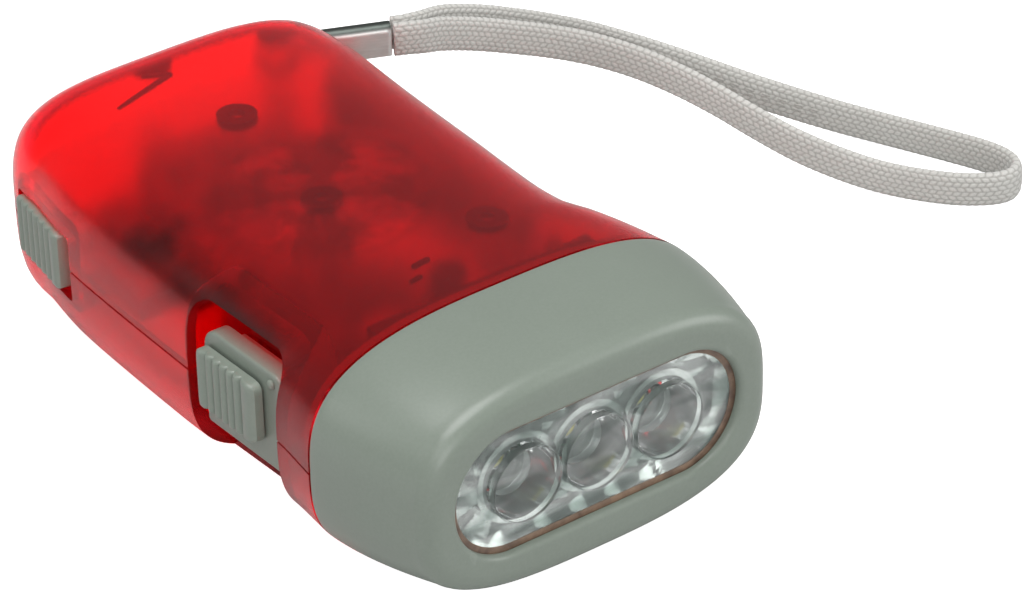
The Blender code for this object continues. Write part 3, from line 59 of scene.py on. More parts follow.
def makeCamera(values):
    heading, elevation, roll = values["heading"], values["elevation"], values["roll"]
    right = Vector((math.cos(heading), -math.sin(heading), 0.0))
    level = Vector((math.sin(heading), math.cos(heading), 0.0))
    up = level * math.sin(elevation) + Vector((0.0, 0.0, math.cos(elevation)))
    ahead = level * math.cos(elevation) - Vector((0.0, 0.0, math.sin(elevation)))
    rolledRight = right * math.cos(roll) + up * math.sin(roll)
    rolledUp = up * math.cos(roll) - right * math.sin(roll)
    data = bpy.data.cameras.new("photoCamera")
    camera = bpy.data.objects.new("photoCamera", data)
    bpy.context.scene.collection.objects.link(camera)
    turn = Matrix((rolledRight, rolledUp, -ahead)).transposed().to_4x4()
    spot = worldPoint(Vector(values["target"]) - ahead * values["distance"])
    camera.matrix_world = Matrix.Translation(spot) @ turn
    width = values["frameWidth"]
    data.sensor_width, data.sensor_fit = values["sensor"], "HORIZONTAL"
    data.lens = values["focalPixels"] * data.sensor_width / width
    data.shift_x = (0.5 * width - values["centreX"]) / width
    data.shift_y = (values["centreY"] - 0.5 * values["frameHeight"]) / width
    data.clip_start, data.clip_end = values["clip"]
    bpy.context.scene.camera = camera


makeCamera(cameraValues)
print("camera set")


def linkObject(name, mesh):
    thing = bpy.data.objects.new(name, mesh)
    bpy.context.scene.collection.objects.link(thing)
    return thing


def linkWork(name, work):
    mesh = bpy.data.meshes.new(name)
    work.to_mesh(mesh)
    work.free()
    return linkObject(name, mesh)


def meshFrom(name, verts, faces):
    work = bmesh.new()
    points = [work.verts.new(v) for v in verts]
    for face in faces:
        work.faces.new([points[i] for i in face])
    bmesh.ops.recalc_face_normals(work, faces=work.faces)
    return linkWork(name, work)


def gathered(name, things):
    work = bmesh.new()
    for thing in things:
        work.from_mesh(thing.data)
        bpy.data.objects.remove(thing, do_unlink=True)
    return linkWork(name, work)


def ringBands(rows, count):
    return [(low * count + i, low * count + (i + 1) % count, high * count + (i + 1) % count, high * count + i)
            for low, high in rows for i in range(count)]


def loft(name, rings):  # closed solid through rings, capped
    count = len(rings[0])
    faces = ringBands([(k, k + 1) for k in range(len(rings) - 1)], count)
    faces.append(tuple(reversed(range(count))))
    faces.append(tuple(range((len(rings) - 1) * count, len(rings) * count)))
    return meshFrom(name, [p for ring in rings for p in ring], faces)


def tunnel(name, rings):  # rings run along the outside and back along the inside
    count, total = len(rings[0]), len(rings)
    bands = ringBands([(k, (k + 1) % total) for k in range(total)], count)
    return meshFrom(name, [p for ring in rings for p in ring], bands)


def slab(name, shown, buried, wide):  # solid between two grids of points, in rows of wide
    back, tall = len(shown), len(shown) // wide
    faces = []
    for k in range(tall - 1):
        for a in range(k * wide, (k + 1) * wide - 1):
            faces.append((a, a + 1, a + wide + 1, a + wide))
            faces.append((back + a, back + a + wide, back + a + wide + 1, back + a + 1))
    edge = list(range(wide)) + [(k + 1) * wide - 1 for k in range(1, tall)]
    edge += [(tall - 1) * wide + i for i in range(wide - 2, -1, -1)]
    edge += [k * wide for k in range(tall - 2, 0, -1)]
    faces += [(a, b, back + b, back + a) for a, b in zip(edge, edge[1:] + edge[:1])]
    return meshFrom(name, shown + buried, faces)


def prism(name, outline, low, high):
    return loft(name, [[(x, y, z) for x, y in outline] for z in (low, high)])


def sidePrism(name, outline, near, far):  # outline in (y, z), pushed along x
    return loft(name, [[(x, y, z) for y, z in outline] for x in (near, far)])


def block(name, low, high):
    outline = [(low[0], low[1]), (high[0], low[1]), (high[0], high[1]), (low[0], high[1])]
    return prism(name, outline, low[2], high[2])


def circlePoints(centre, radius, steps):
    turns = [2 * math.pi * i / steps for i in range(steps)]
    return [(centre[0] + radius * math.cos(turn), centre[1] + radius * math.sin(turn)) for turn in turns]


def rod(name, centre, radius, low, high, steps=40):
    return prism(name, circlePoints(centre, radius, steps), low, high)


def turned(name, profile, steps=48):  # about Z from (radius, height) points
    verts, faces, rows = [], [], []
    for radius, height in profile:
        ring = [(x, y, height) for x, y in circlePoints((0.0, 0.0), radius, steps if radius > 0.0 else 1)]
        rows.append(list(range(len(verts), len(verts) + len(ring))))
        verts += ring
    pairs = list(zip(rows, rows[1:]))
    if len(rows[0]) > 1:
        pairs.append((rows[-1], rows[0]))
    for low, high in pairs:
        for i in range(steps):
            j = (i + 1) % steps
            if len(low) == 1:
                faces.append((low[0], high[j], high[i]))
            elif len(high) == 1:
                faces.append((low[i], low[j], high[0]))
            else:
                faces.append((low[i], low[j], high[j], high[i]))
    return meshFrom(name, verts, faces)


def moved(thing, offset):
    thing.data.transform(Matrix.Translation(offset))
    return thing


def rotated(thing, angle, axis):
    thing.data.transform(Matrix.Rotation(angle, 4, axis))
    return thing


def facing(thing, offset, sign=-1):  # from an upright axis to one along y, then moved
    return moved(rotated(thing, sign * 0.5 * math.pi, "X"), offset)


def evaluatedMesh(thing):
    bpy.context.view_layer.update()
    return bpy.data.meshes.new_from_object(thing.evaluated_get(bpy.context.evaluated_depsgraph_get()))


def combine(target, tool, operation):
    step = target.modifiers.new("Shape", "BOOLEAN")
    step.operation, step.solver, step.object = operation, "EXACT", tool
    mesh = evaluatedMesh(target)
    target.modifiers.remove(step)
    old, target.data = target.data, mesh
    bpy.data.meshes.remove(old)
    bpy.data.objects.remove(tool, do_unlink=True)
    return target


def cut(target, tool):
    return combine(target, tool, "DIFFERENCE")


def join(target, tool):
    return combine(target, tool, "UNION")


def keep(target, tool):
    return combine(target, tool, "INTERSECT")


def smoothShaded(thing, angle=32.0):
    for face in thing.data.polygons:
        face.use_smooth = True
    thing.data.set_sharp_from_angle(angle=math.radians(angle))
    return thing


def finished(thing, name, material, body, slot, *replaced):  # into world metres, dressed, hung on its body and put in place of the parts it replaces
    thing.name = thing.data.name = name
    thing.data.transform(toWorld)
    thing.data.materials.clear()
    thing.data.materials.append(material)
    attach(thing, body)
    if replaced:
        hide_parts(*replaced)
    return thing


# Shader helpers
def addNode(tree, kind, **settings):
    node = tree.nodes.new(kind)
    for key, value in settings.items():
        setattr(node, key, value)
    return node


def feed(tree, slot, value):  # another socket is linked, a number or a colour is set
    if isinstance(value, bpy.types.NodeSocket):
        tree.links.new(value, slot)
    elif isinstance(value, tuple) and slot.type == "RGBA":
        slot.default_value = (*value, 1.0)
    else:
        slot.default_value = value


def feedAll(tree, node, **values):  # socket names, with _ for their spaces
    for label, value in values.items():
        feed(tree, node.inputs[label.replace("_", " ")], value)
    return node.outputs


def newGroup(name, values, results=("Mask",)):  # every group takes a vector, and these values of its own
    tree = bpy.data.node_groups.new(name, "ShaderNodeTree")
    tree.interface.new_socket(name="Vector", in_out="INPUT", socket_type="NodeSocketVector")
    for label, value in values.items():
        kind = "NodeSocketVector" if isinstance(value, tuple) else "NodeSocketFloat"
        tree.interface.new_socket(name=label, in_out="INPUT", socket_type=kind).default_value = value
    for label in results:
        tree.interface.new_socket(name=label, in_out="OUTPUT", socket_type="NodeSocketFloat")
    return tree, addNode(tree, "NodeGroupInput").outputs, addNode(tree, "NodeGroupOutput").inputs


def mathNode(tree, operation, *values):
    node = addNode(tree, "ShaderNodeMath", operation=operation)
    for slot, value in zip(node.inputs, values):
        feed(tree, slot, value)
    return node.outputs[0]


def times(tree, first, *others):
    for other in others:
        first = mathNode(tree, "MULTIPLY", first, other)
    return first


def mixColour(tree, factor, first, second):
    node = addNode(tree, "ShaderNodeMix", data_type="RGBA")
    for index, value in ((0, factor), (6, first), (7, second)):
        feed(tree, node.inputs[index], value)
    return node.outputs[2]


def noiseNode(tree, vector, scale, detail=3.0, rough=0.55):
    node = addNode(tree, "ShaderNodeTexNoise")
    return feedAll(tree, node, Vector=vector, Scale=scale, Detail=detail, Roughness=rough)["Fac"]


def mapRange(tree, value, low, high, fromLow=0.0, fromHigh=1.0, **settings):
    node = addNode(tree, "ShaderNodeMapRange", **settings)
    return feedAll(tree, node, Value=value, From_Min=fromLow, From_Max=fromHigh, To_Min=low, To_Max=high)[0]


def rampNode(tree, value, start, end):  # 0 at start, 1 at end, eased
    return mapRange(tree, value, 0.0, 1.0, start, end, interpolation_type="SMOOTHSTEP")


def splitVector(tree, vector):
    parts = addNode(tree, "ShaderNodeSeparateXYZ")
    tree.links.new(vector, parts.inputs[0])
    return parts.outputs


def makeGrain():  # fine moulded grain with a slow cloud in it
    values = {"Fine Scale": 2400.0, "Cloud Scale": 60.0, "Cloud Amount": 0.5}
    tree, given, sent = newGroup("mouldedGrain", values, ("Mask", "Height"))
    fine = noiseNode(tree, given["Vector"], given["Fine Scale"], 4.0)
    cloud = noiseNode(tree, given["Vector"], given["Cloud Scale"], 2.0)
    centred = mathNode(tree, "SUBTRACT", cloud, 0.5)
    feed(tree, sent["Mask"], mathNode(tree, "MULTIPLY_ADD", centred, given["Cloud Amount"], fine))
    feed(tree, sent["Height"], fine)
    return tree


def makeDust():  # sparse pale specks
    tree, given, sent = newGroup("looseDust", {"Scale": 900.0, "Amount": 0.06})
    cells = addNode(tree, "ShaderNodeTexVoronoi", feature="F1")
    distance = feedAll(tree, cells, Vector=given["Vector"], Scale=given["Scale"])["Distance"]
    spots = mathNode(tree, "LESS_THAN", distance, given["Amount"])
    patch = mathNode(tree, "GREATER_THAN", noiseNode(tree, given["Vector"], 120.0, 2.0), 0.55)
    feed(tree, sent["Mask"], times(tree, spots, patch))
    return tree


def makeWear():  # rubbed edges, from the shape's own creases
    tree, given, sent = newGroup("rubbedEdges", {"Start": 0.52, "Amount": 0.4})
    shape = addNode(tree, "ShaderNodeNewGeometry")
    above = mathNode(tree, "SUBTRACT", shape.outputs["Pointiness"], given["Start"])
    edge = mathNode(tree, "MAXIMUM", times(tree, above, 14.0), 0.0)
    edge = mathNode(tree, "MINIMUM", edge, 1.0)
    broken = noiseNode(tree, given["Vector"], 700.0, 4.0)
    feed(tree, sent["Mask"], times(tree, edge, broken, given["Amount"]))
    return tree


def makeBrushed():  # long fine scratches along one axis
    tree, given, sent = newGroup("brushedLines", {"Stretch": (1.0, 30.0, 30.0), "Scale": 120.0})
    stretched = addNode(tree, "ShaderNodeVectorMath", operation="MULTIPLY")
    tree.links.new(given["Vector"], stretched.inputs[0])
    tree.links.new(given["Stretch"], stretched.inputs[1])
    feed(tree, sent["Mask"], noiseNode(tree, stretched.outputs[0], given["Scale"], 5.0, 0.7))
    return tree


# Painted shade and painted light in the case's colour, standing for what lies under it, in world metres
paintedShadeValues = {
    "cloudScale": 130.0, "cloudShift": 0.010, "ringShift": 0.35,
    "sideAcross": (-0.0175, -0.0235), "sideRear": (0.018, 0.006), "sideFront": (-0.024, -0.016),
    "sideUp": (0.0195, 0.0235), "back": (0.034, 0.010), "front": (-0.006, -0.024),
    "sideDepth": 0.88, "backDepth": 0.26, "frontDepth": 0.16, "discDepth": 0.20,
    "rotor": (-0.004, -0.0019), "leaves": 4.0, "leafTurn": math.radians(10.0), "leafShare": 1.0,
    "leafInner": 0.0026, "leafOuter": 0.0118, "leafSoft": 0.0014, "leafEdge": (-0.5, 1.1),
    "raggedScale": 260.0, "ragged": 5.0, "seam": 0.01425, "seamSoft": 0.0004, "lowerShell": 0.72,
}


def makePaintedShade():  # painted shade and painted light: how much light would come up through the works, seen from above
    v = paintedShadeValues
    tree, given, sent = newGroup("paintedShadeOfTheWorks", {})
    vector = given["Vector"]
    x, y, z = splitVector(tree, vector)

    def less(mask, depth):
        return mathNode(tree, "MULTIPLY_ADD", mask, -depth, 1.0)

    cloud = mathNode(tree, "SUBTRACT", noiseNode(tree, vector, v["cloudScale"]), 0.5)
    drift = times(tree, cloud, v["cloudShift"])
    wideX, wideY = mathNode(tree, "ADD", x, drift), mathNode(tree, "ADD", y, drift)
    side = times(tree, rampNode(tree, wideX, *v["sideAcross"]), rampNode(tree, wideY, *v["sideRear"]),
                 rampNode(tree, wideY, *v["sideFront"]), rampNode(tree, z, *v["sideUp"]))
    back, front = rampNode(tree, wideY, *v["back"]), rampNode(tree, wideY, *v["front"])

    acrossX = mathNode(tree, "SUBTRACT", x, v["rotor"][0])
    acrossY = mathNode(tree, "SUBTRACT", y, v["rotor"][1])
    squares = mathNode(tree, "ADD", times(tree, acrossX, acrossX), times(tree, acrossY, acrossY))
    radius = mathNode(tree, "ADD", mathNode(tree, "SQRT", squares), times(tree, drift, v["ringShift"]))
    turn = mathNode(tree, "SUBTRACT", mathNode(tree, "ARCTAN2", acrossY, acrossX), v["leafTurn"])
    wave = mathNode(tree, "COSINE", times(tree, turn, v["leaves"]))
    noise = mathNode(tree, "SUBTRACT", noiseNode(tree, vector, v["raggedScale"]), 0.5)
    ragged = mathNode(tree, "MULTIPLY_ADD", noise, v["ragged"], wave)
    inner, outer, soft = v["leafInner"], v["leafOuter"], v["leafSoft"]
    # painted light: bright leaves round the rotor
    litLeaf = times(tree, rampNode(tree, ragged, *v["leafEdge"]), rampNode(tree, radius, inner, inner + soft),
                 rampNode(tree, radius, outer + soft, outer))
    disc = rampNode(tree, radius, outer + 2.0 * soft, outer)

    dim = times(tree, less(side, v["sideDepth"]), less(back, v["backDepth"]), less(front, v["frontDepth"]),
                less(disc, v["discDepth"]))
    share = times(tree, litLeaf, v["leafShare"])
    lit = mathNode(tree, "MULTIPLY_ADD", mathNode(tree, "SUBTRACT", 1.0, dim), share, dim)
    # painted shade: the lower shell darker throughout
    upper = rampNode(tree, z, v["seam"] - v["seamSoft"], v["seam"] + v["seamSoft"])
    below = mathNode(tree, "SUBTRACT", 1.0, upper)
    feed(tree, sent["Mask"], mathNode(tree, "MULTIPLY_ADD", below, v["lowerShell"], times(tree, upper, lit)))
    return tree


grainGroup, dustGroup, wearGroup, brushedGroup = makeGrain(), makeDust(), makeWear(), makeBrushed()
paintedShadeGroup = makePaintedShade()


def newMaterial(name):
    material = bpy.data.materials.new(name)
    material.use_nodes = True
    tree = material.node_tree
    return material, tree, tree.nodes["Principled BSDF"]


def objectVector(tree):
    return addNode(tree, "ShaderNodeTexCoord").outputs["Object"]


def useGroup(tree, group, vector, **values):
    return feedAll(tree, addNode(tree, "ShaderNodeGroup", node_tree=group), Vector=vector, **values)


def bump(tree, height, strength, distance):
    node = addNode(tree, "ShaderNodeBump")
    return feedAll(tree, node, Strength=strength, Distance=distance, Height=height)[0]


def plasticMaterial(name, colour, dark, worn, roughness, bumpStrength, wear, grainScale, coat=0.0, dust=0.03):
    material, tree, shader = newMaterial(name)
    vector = objectVector(tree)
    grain = useGroup(tree, grainGroup, vector, Fine_Scale=grainScale, Cloud_Scale=70.0, Cloud_Amount=0.6)
    edges = useGroup(tree, wearGroup, vector, Start=0.53, Amount=wear)["Mask"]
    specks = useGroup(tree, dustGroup, vector, Scale=700.0, Amount=dust)["Mask"]
    base = mixColour(tree, mapRange(tree, grain["Mask"], 0.0, 1.0, 0.2, 0.8), dark, colour)
    rubbed = mixColour(tree, edges, base, worn)
    dusty = mixColour(tree, times(tree, specks, 0.35), rubbed, (0.75, 0.74, 0.70))
    feedAll(tree, shader, Base_Color=dusty, Coat_Weight=coat, Coat_Roughness=0.25,
            Roughness=mapRange(tree, grain["Mask"], roughness - 0.06, roughness + 0.08),
            Normal=bump(tree, grain["Height"], bumpStrength, 0.00004))
    return material


def metalMaterial(name, colour, dark, bright, roughness, bumpStrength, lineScale, stretch, wear=0.5):
    material, tree, shader = newMaterial(name)
    vector = objectVector(tree)
    lines = useGroup(tree, brushedGroup, vector, Scale=lineScale, Stretch=stretch)["Mask"]
    edges = useGroup(tree, wearGroup, vector, Start=0.52, Amount=wear)["Mask"]
    feedAll(tree, shader, Base_Color=mixColour(tree, edges, mixColour(tree, lines, dark, colour), bright),
            Roughness=mapRange(tree, lines, roughness - 0.08, roughness + 0.1), Metallic=1.0,
            Normal=bump(tree, lines, bumpStrength, 0.00002))
    return material


def shadowWindow(tree, shader, tint):  # lamps reach what lies behind the clear plastic
    clear = addNode(tree, "ShaderNodeBsdfTransparent")
    feed(tree, clear.inputs["Color"], tint)
    mix = addNode(tree, "ShaderNodeMixShader")
    tree.links.new(addNode(tree, "ShaderNodeLightPath").outputs["Is Shadow Ray"], mix.inputs[0])
    tree.links.new(shader.outputs[0], mix.inputs[1])
    tree.links.new(clear.outputs[0], mix.inputs[2])
    tree.links.new(mix.outputs[0], tree.nodes["Material Output"].inputs["Surface"])


def clearRedMaterial():  # its colour darkened by painted shade and lifted by painted light, standing for what lies under it
    material, tree, shader = newMaterial("clearRedPlastic")
    vector = objectVector(tree)
    grain = useGroup(tree, grainGroup, vector, Fine_Scale=8000.0, Cloud_Scale=45.0, Cloud_Amount=0.8)
    paintedShade = useGroup(tree, paintedShadeGroup, vector)["Mask"]
    cloud = mapRange(tree, grain["Mask"], 0.0, 1.0, 0.2, 0.8)
    light = mixColour(tree, cloud, (0.96, 0.008, 0.020), (1.00, 0.012, 0.028))
    # painted shade: the colour runs to near black where the works would block the light
    feedAll(tree, shader, Base_Color=mixColour(tree, paintedShade, (0.06, 0.0006, 0.001), light),
            Roughness=mapRange(tree, grain["Mask"], 0.11, 0.15), IOR=1.4, Specular_IOR_Level=0.11,
            Transmission_Weight=0.92, Coat_Weight=0.08, Coat_Roughness=0.06,
            Normal=bump(tree, grain["Height"], 0.34, 0.00005))
    shadowWindow(tree, shader, (0.98, 0.07, 0.09))
    return material


def epoxyMaterial():  # the lamps' bodies
    material, tree, shader = newMaterial("clearEpoxy")
    vector = objectVector(tree)
    grain = useGroup(tree, grainGroup, vector, Fine_Scale=900.0, Cloud_Scale=120.0, Cloud_Amount=0.4)["Mask"]
    tint = (0.97, 0.975, 0.965)
    feedAll(tree, shader, Base_Color=mixColour(tree, grain, tuple(0.97 * c for c in tint), tint),
            Roughness=mapRange(tree, grain, 0.01, 0.05), IOR=1.49, Transmission_Weight=1.0,
            Normal=bump(tree, grain, 0.05, 0.00003))
    shadowWindow(tree, shader, (0.97, 0.98, 0.98))
    return material


def streakedMaterial():  # the lamp optic: clear, its tint darker in slanting streaks
    material, tree, shader = newMaterial("streakedClear")
    vector = objectVector(tree)
    slant = addNode(tree, "ShaderNodeMapping")
    turn = (0.0, math.radians(38.0), 0.0)
    slanted = feedAll(tree, slant, Vector=vector, Rotation=turn, Scale=(0.25, 0.25, 1.0))[0]
    slantStreak = mapRange(tree, noiseNode(tree, slanted, 420.0, 1.0), 0.0, 1.0, 0.43, 0.57)
    grain = useGroup(tree, grainGroup, vector, Fine_Scale=300.0, Cloud_Scale=260.0, Cloud_Amount=0.6)
    feedAll(tree, shader, Base_Color=mixColour(tree, slantStreak, (0.46, 0.51, 0.49), (0.98, 1.00, 0.99)),
            Roughness=mapRange(tree, grain["Mask"], 0.02, 0.07), Transmission_Weight=0.88, IOR=1.49)
    shadowWindow(tree, shader, (0.95, 0.97, 0.97))
    return material


paintedDarkFoldHeights = (0.02335, 0.02385)  # where the painted dark reflection on the tab's fold begins, in world metres


def tabMaterial():  # satin sheet, its fold given a painted dark reflection
    material, tree, shader = newMaterial("satinTab")
    vector = objectVector(tree)
    lines = useGroup(tree, brushedGroup, vector, Scale=220.0, Stretch=(1.0, 4.0, 14.0))["Mask"]
    # painted reflection: the fold's top darker
    fold = rampNode(tree, splitVector(tree, vector)[2], *paintedDarkFoldHeights)
    side = mixColour(tree, lines, (0.60, 0.62, 0.60), (0.86, 0.88, 0.86))
    feedAll(tree, shader, Base_Color=mixColour(tree, fold, side, (0.10, 0.115, 0.105)), Metallic=0.85,
            Roughness=mapRange(tree, lines, 0.30, 0.44), Normal=bump(tree, lines, 0.08, 0.00002))
    return material


def phosphorMaterial():
    material, tree, shader = newMaterial("phosphorYellow")
    vector = objectVector(tree)
    grain = useGroup(tree, grainGroup, vector, Fine_Scale=3000.0, Cloud_Scale=600.0, Cloud_Amount=0.7)["Mask"]
    feedAll(tree, shader, Base_Color=mixColour(tree, grain, (0.72, 0.60, 0.08), (0.92, 0.82, 0.22)),
            Roughness=mapRange(tree, grain, 0.4, 0.7))
    return material


# Colour, its dark and its worn tone, roughness, bump, wear, grain scale, coat, dust
plasticValues = {
    "greyPlastic": ((0.225, 0.262, 0.222), (0.205, 0.240, 0.202), (0.34, 0.38, 0.33), 0.34, 0.10, 0.35, 2600.0,
                    0.15, 0.02),
    # the gears' nylon toned down to a dark grey: partly its own colour, partly painted shade of the case's
    # inside
    "dimmedNylon": ((0.17, 0.165, 0.15), (0.13, 0.125, 0.115), (0.28, 0.27, 0.25), 0.42, 0.08, 0.2, 1800.0),
    "blackPlastic": ((0.022, 0.022, 0.023), (0.014, 0.014, 0.015), (0.06, 0.06, 0.06), 0.44, 0.12, 0.3, 2200.0),
    "shadedRed": ((0.030, 0.003, 0.004), (0.015, 0.002, 0.002), (0.06, 0.006, 0.008), 0.35, 0.05, 0.1, 1800.0),
    # painted reflection: the warm colour of the ring on the lip's wall
    "warmLipReflection": ((0.27, 0.17, 0.11), (0.07, 0.04, 0.03), (0.40, 0.32, 0.25), 0.30, 0.15, 0.3, 700.0),
    "ferrite": ((0.060, 0.060, 0.064), (0.035, 0.035, 0.038), (0.12, 0.12, 0.125), 0.58, 0.3, 0.5, 1400.0),
    "boardGreen": ((0.030, 0.20, 0.075), (0.020, 0.13, 0.050), (0.10, 0.30, 0.14), 0.34, 0.15, 0.2, 1200.0,
                   0.3),
    "tanLacquer": ((0.62, 0.46, 0.29), (0.52, 0.36, 0.20), (0.72, 0.58, 0.40), 0.35, 0.1, 0.2, 1500.0),
    "blueSleeve": ((0.030, 0.065, 0.24), (0.020, 0.045, 0.17), (0.10, 0.15, 0.34), 0.30, 0.08, 0.2, 1500.0,
                   0.3),
    "redInsulation": ((0.62, 0.032, 0.024), (0.48, 0.022, 0.017), (0.72, 0.10, 0.08), 0.40, 0.08, 0.1, 1500.0),
    "yellowInsulation": ((0.72, 0.56, 0.065), (0.60, 0.44, 0.045), (0.82, 0.70, 0.24), 0.40, 0.08, 0.1, 1500.0),
}
# Colour, its dark and its bright tone, roughness, bump, line scale, stretch of the lines, wear
metalValues = {
    "brightMetal": ((0.86, 0.86, 0.87), (0.74, 0.74, 0.76), (0.95, 0.95, 0.96), 0.16, 0.05, 200.0,
                    (8.0, 1.0, 8.0)),
    "silveredPlastic": ((0.62, 0.65, 0.63), (0.50, 0.53, 0.51), (0.78, 0.80, 0.79), 0.24, 0.04, 70.0,
                        (2.0, 1.0, 5.0), 0.0),
    "steelMetal": ((0.60, 0.60, 0.60), (0.46, 0.46, 0.46), (0.78, 0.78, 0.78), 0.30, 0.08, 160.0,
                   (1.0, 14.0, 14.0)),
    "brassMetal": ((0.76, 0.56, 0.26), (0.62, 0.43, 0.17), (0.90, 0.74, 0.42), 0.30, 0.06, 180.0,
                   (1.0, 1.0, 20.0)),
    "enamelledCopper": ((0.70, 0.27, 0.09), (0.50, 0.16, 0.05), (0.86, 0.42, 0.18), 0.30, 0.3, 260.0,
                        (22.0, 1.0, 1.0)),
}
finish = {name: plasticMaterial(name, *values) for name, values in plasticValues.items()}
finish.update({name: metalMaterial(name, *values) for name, values in metalValues.items()})
greyPlastic, brightMetal, silveredPlastic = (
    finish["greyPlastic"], finish["brightMetal"], finish["silveredPlastic"])
clearRed, clearEpoxy, streakedClear = clearRedMaterial(), epoxyMaterial(), streakedMaterial()
satinTab, phosphorYellow = tabMaterial(), phosphorMaterial()
print("materials made")


# Case: the outline's half widths along y, right side then left side, and its height
caseValues = {
    "length": 95.2, "seamY": 16.7, "seamHalfWidth": 27.0, "halfHeight": 14.22, "wall": 1.8, "gap": 0.3,
    "exponents": (3.0, 3.69), "blendLength": 30.0, "cornerRight": 14.9, "cornerLeft": 15.8, "crown": 11.3,
    "cornerPower": 2.4, "crownPower": 1.68,
    "rightStations": (16.7, 22.0, 27.0, 31.0, 36.0, 42.0, 52.0, 64.0, 77.0),
    "rightWidths": (27.0, 25.8, 24.2, 22.3, 21.8, 22.0, 22.7, 23.7, 25.1),
    "leftStations": (16.7, 25.0, 34.0, 44.0, 57.0, 70.0, 80.0),
    "leftWidths": (27.0, 25.8, 25.4, 25.1, 24.6, 23.8, 22.1),
    "pointsRound": 144, "ringStep": 1.7, "rearRings": 18, "rearShare": 0.9995,
    "trimFront": 17.3, "trimSteps": 30, "trimInset": 0.9, "skinInset": 1.85,
}


def smoothCurve(stations, values, at):  # monotone cubic, flat beyond its ends
    if at <= stations[0]:
        return values[0]
    if at >= stations[-1]:
        return values[-1]
    count = len(stations)
    spans = [stations[i + 1] - stations[i] for i in range(count - 1)]
    rises = [(values[i + 1] - values[i]) / spans[i] for i in range(count - 1)]
    slopes = [rises[0]]
    for i in range(1, count - 1):
        product = rises[i - 1] * rises[i]
        slopes.append(0.0 if product <= 0.0 else 2.0 * product / (rises[i - 1] + rises[i]))
    slopes.append(rises[-1])
    i = max(k for k in range(count - 1) if stations[k] <= at)
    t = (at - stations[i]) / spans[i]
    lead = values[i] + spans[i] * slopes[i] * t * (1.0 - t) ** 2
    tail = (values[i + 1] - values[i]) * t * t * (3.0 - 2.0 * t)
    return lead + tail + spans[i] * slopes[i + 1] * t * t * (t - 1.0)


def superellipse(right, left, halfHeight, exponent, y, count):
    ring = []
    for i in range(count):
        angle = 2.0 * math.pi * (i + 0.5) / count
        c, s = math.cos(angle), math.sin(angle)
        side = right if c > 0.0 else left
        ring.append((side * math.copysign(abs(c) ** (2.0 / exponent), c), y,
                     halfHeight * math.copysign(abs(s) ** (2.0 / exponent), s)))
    return ring


def taper(y, end, length, power):
    start = end - length
    return 1.0 if y <= start else max(0.0, 1.0 - ((y - start) / length) ** power) ** (1.0 / power)


def caseSection(y, inset, count=None):
    v = caseValues
    end = v["length"] - inset
    right = smoothCurve(v["rightStations"], v["rightWidths"], y) - inset
    left = smoothCurve(v["leftStations"], v["leftWidths"], y) - inset
    right *= taper(y, end, v["cornerRight"] - inset, v["cornerPower"])
    left *= taper(y, end, v["cornerLeft"] - inset, v["cornerPower"])
    height = (v["halfHeight"] - inset) * taper(y, end, v["crown"] - inset, v["crownPower"])
    low, high = v["exponents"]
    exponent = low + (high - low) * min(1.0, max(0.0, (y - v["seamY"]) / v["blendLength"]))
    return superellipse(right, left, height, exponent, y, count or v["pointsRound"])


def caseLoft(name, inset, front, steps=None):
    v = caseValues
    end = v["length"] - inset
    turnY = v["length"] - v["cornerLeft"] - inset
    count = steps or round((turnY - front) / v["ringStep"])
    ys = [front + (turnY - front) * i / count for i in range(count)]
    for i in range(v["rearRings"] + 1):
        ys.append(turnY + (end - turnY) * math.sin(0.5 * math.pi * i / v["rearRings"]) * v["rearShare"])
    return loft(name, [caseSection(y, inset) for y in ys])


def trimmed(thing, inset):
    return keep(thing, caseLoft("trim", inset, caseValues["trimFront"], caseValues["trimSteps"]))


# The moving parts' places, as the case has to clear them
layout = {
    "leverPivot": (15.3, 27.6), "rotorAxis": (-4.0, 45.7), "firstAxis": (-0.394, 67.956),
    "secondAxis": (6.469, 54.843),
    "screwPlaces": ((7.8, 30.3), (-0.1, 86.7), (16.9, 84.8)), "boardPosts": ((-11.8, 31.1), (2.6, 24.0)),
    "recessFront": 24.6, "recessRear": 43.0, "recessTop": 9.6, "recessFloor": 19.5, "recessRound": 3.0,
    "windowFront": 35.2, "windowRear": 80.3, "windowHalfHeight": 6.9, "windowRound": 1.2,
    "stemY": 35.0, "stemHalf": 1.5, "knobTravel": 2.4, "slotGap": 0.4, "slotReach": 3.6,
    "latchTilt": math.radians(8.8), "latchCentre": (-22.62, 77.6), "latchLength": 11.5, "latchHalfHeight": 3.7,
    "latchTravel": 1.8, "pocketDepth": 2.4, "pocketMargin": 0.6, "pocketRound": 0.7,
    "neckHalf": 1.8, "neckHalfHeight": 1.6,
}


def recessTool(name, inset, steps=10):
    v, w = layout, caseValues
    rear, front = v["recessRear"] + inset, v["recessFront"] - inset
    low, high = -w["halfHeight"] - past, v["recessTop"] + inset
    bend = v["recessRound"] + inset
    outline = [(rear, low)]
    for cy, start in ((rear - bend, 0.0), (front + bend, 90.0)):
        for i in range(steps + 1):
            angle = math.radians(start + 90.0 * i / steps)
            outline.append((cy + bend * math.cos(angle), high - bend + bend * math.sin(angle)))
    outline.append((front, low))
    return sidePrism(name, outline, -w["seamHalfWidth"] - past, -v["recessFloor"] + inset)


def roundedOutline(low, high, radii, steps=6):  # radii from the corner at high x, low y, going round
    (x0, y0), (x1, y1) = low, high
    corners = ((x1, y0, -1, 1, -90), (x1, y1, -1, -1, 0), (x0, y1, 1, -1, 90), (x0, y0, 1, 1, 180))
    points = []
    for (x, y, sx, sy, start), radius in zip(corners, radii):
        for i in range(steps + 1):
            angle = math.radians(start + 90.0 * i / steps)
            points.append((x + radius * (sx + math.cos(angle)), y + radius * (sy + math.sin(angle))))
    return points


def latchFrame(thing):  # from the latch's own frame: +x inwards, +y along the slide
    rotated(thing, -layout["latchTilt"], "Z")
    return moved(thing, (*layout["latchCentre"], 0.0))


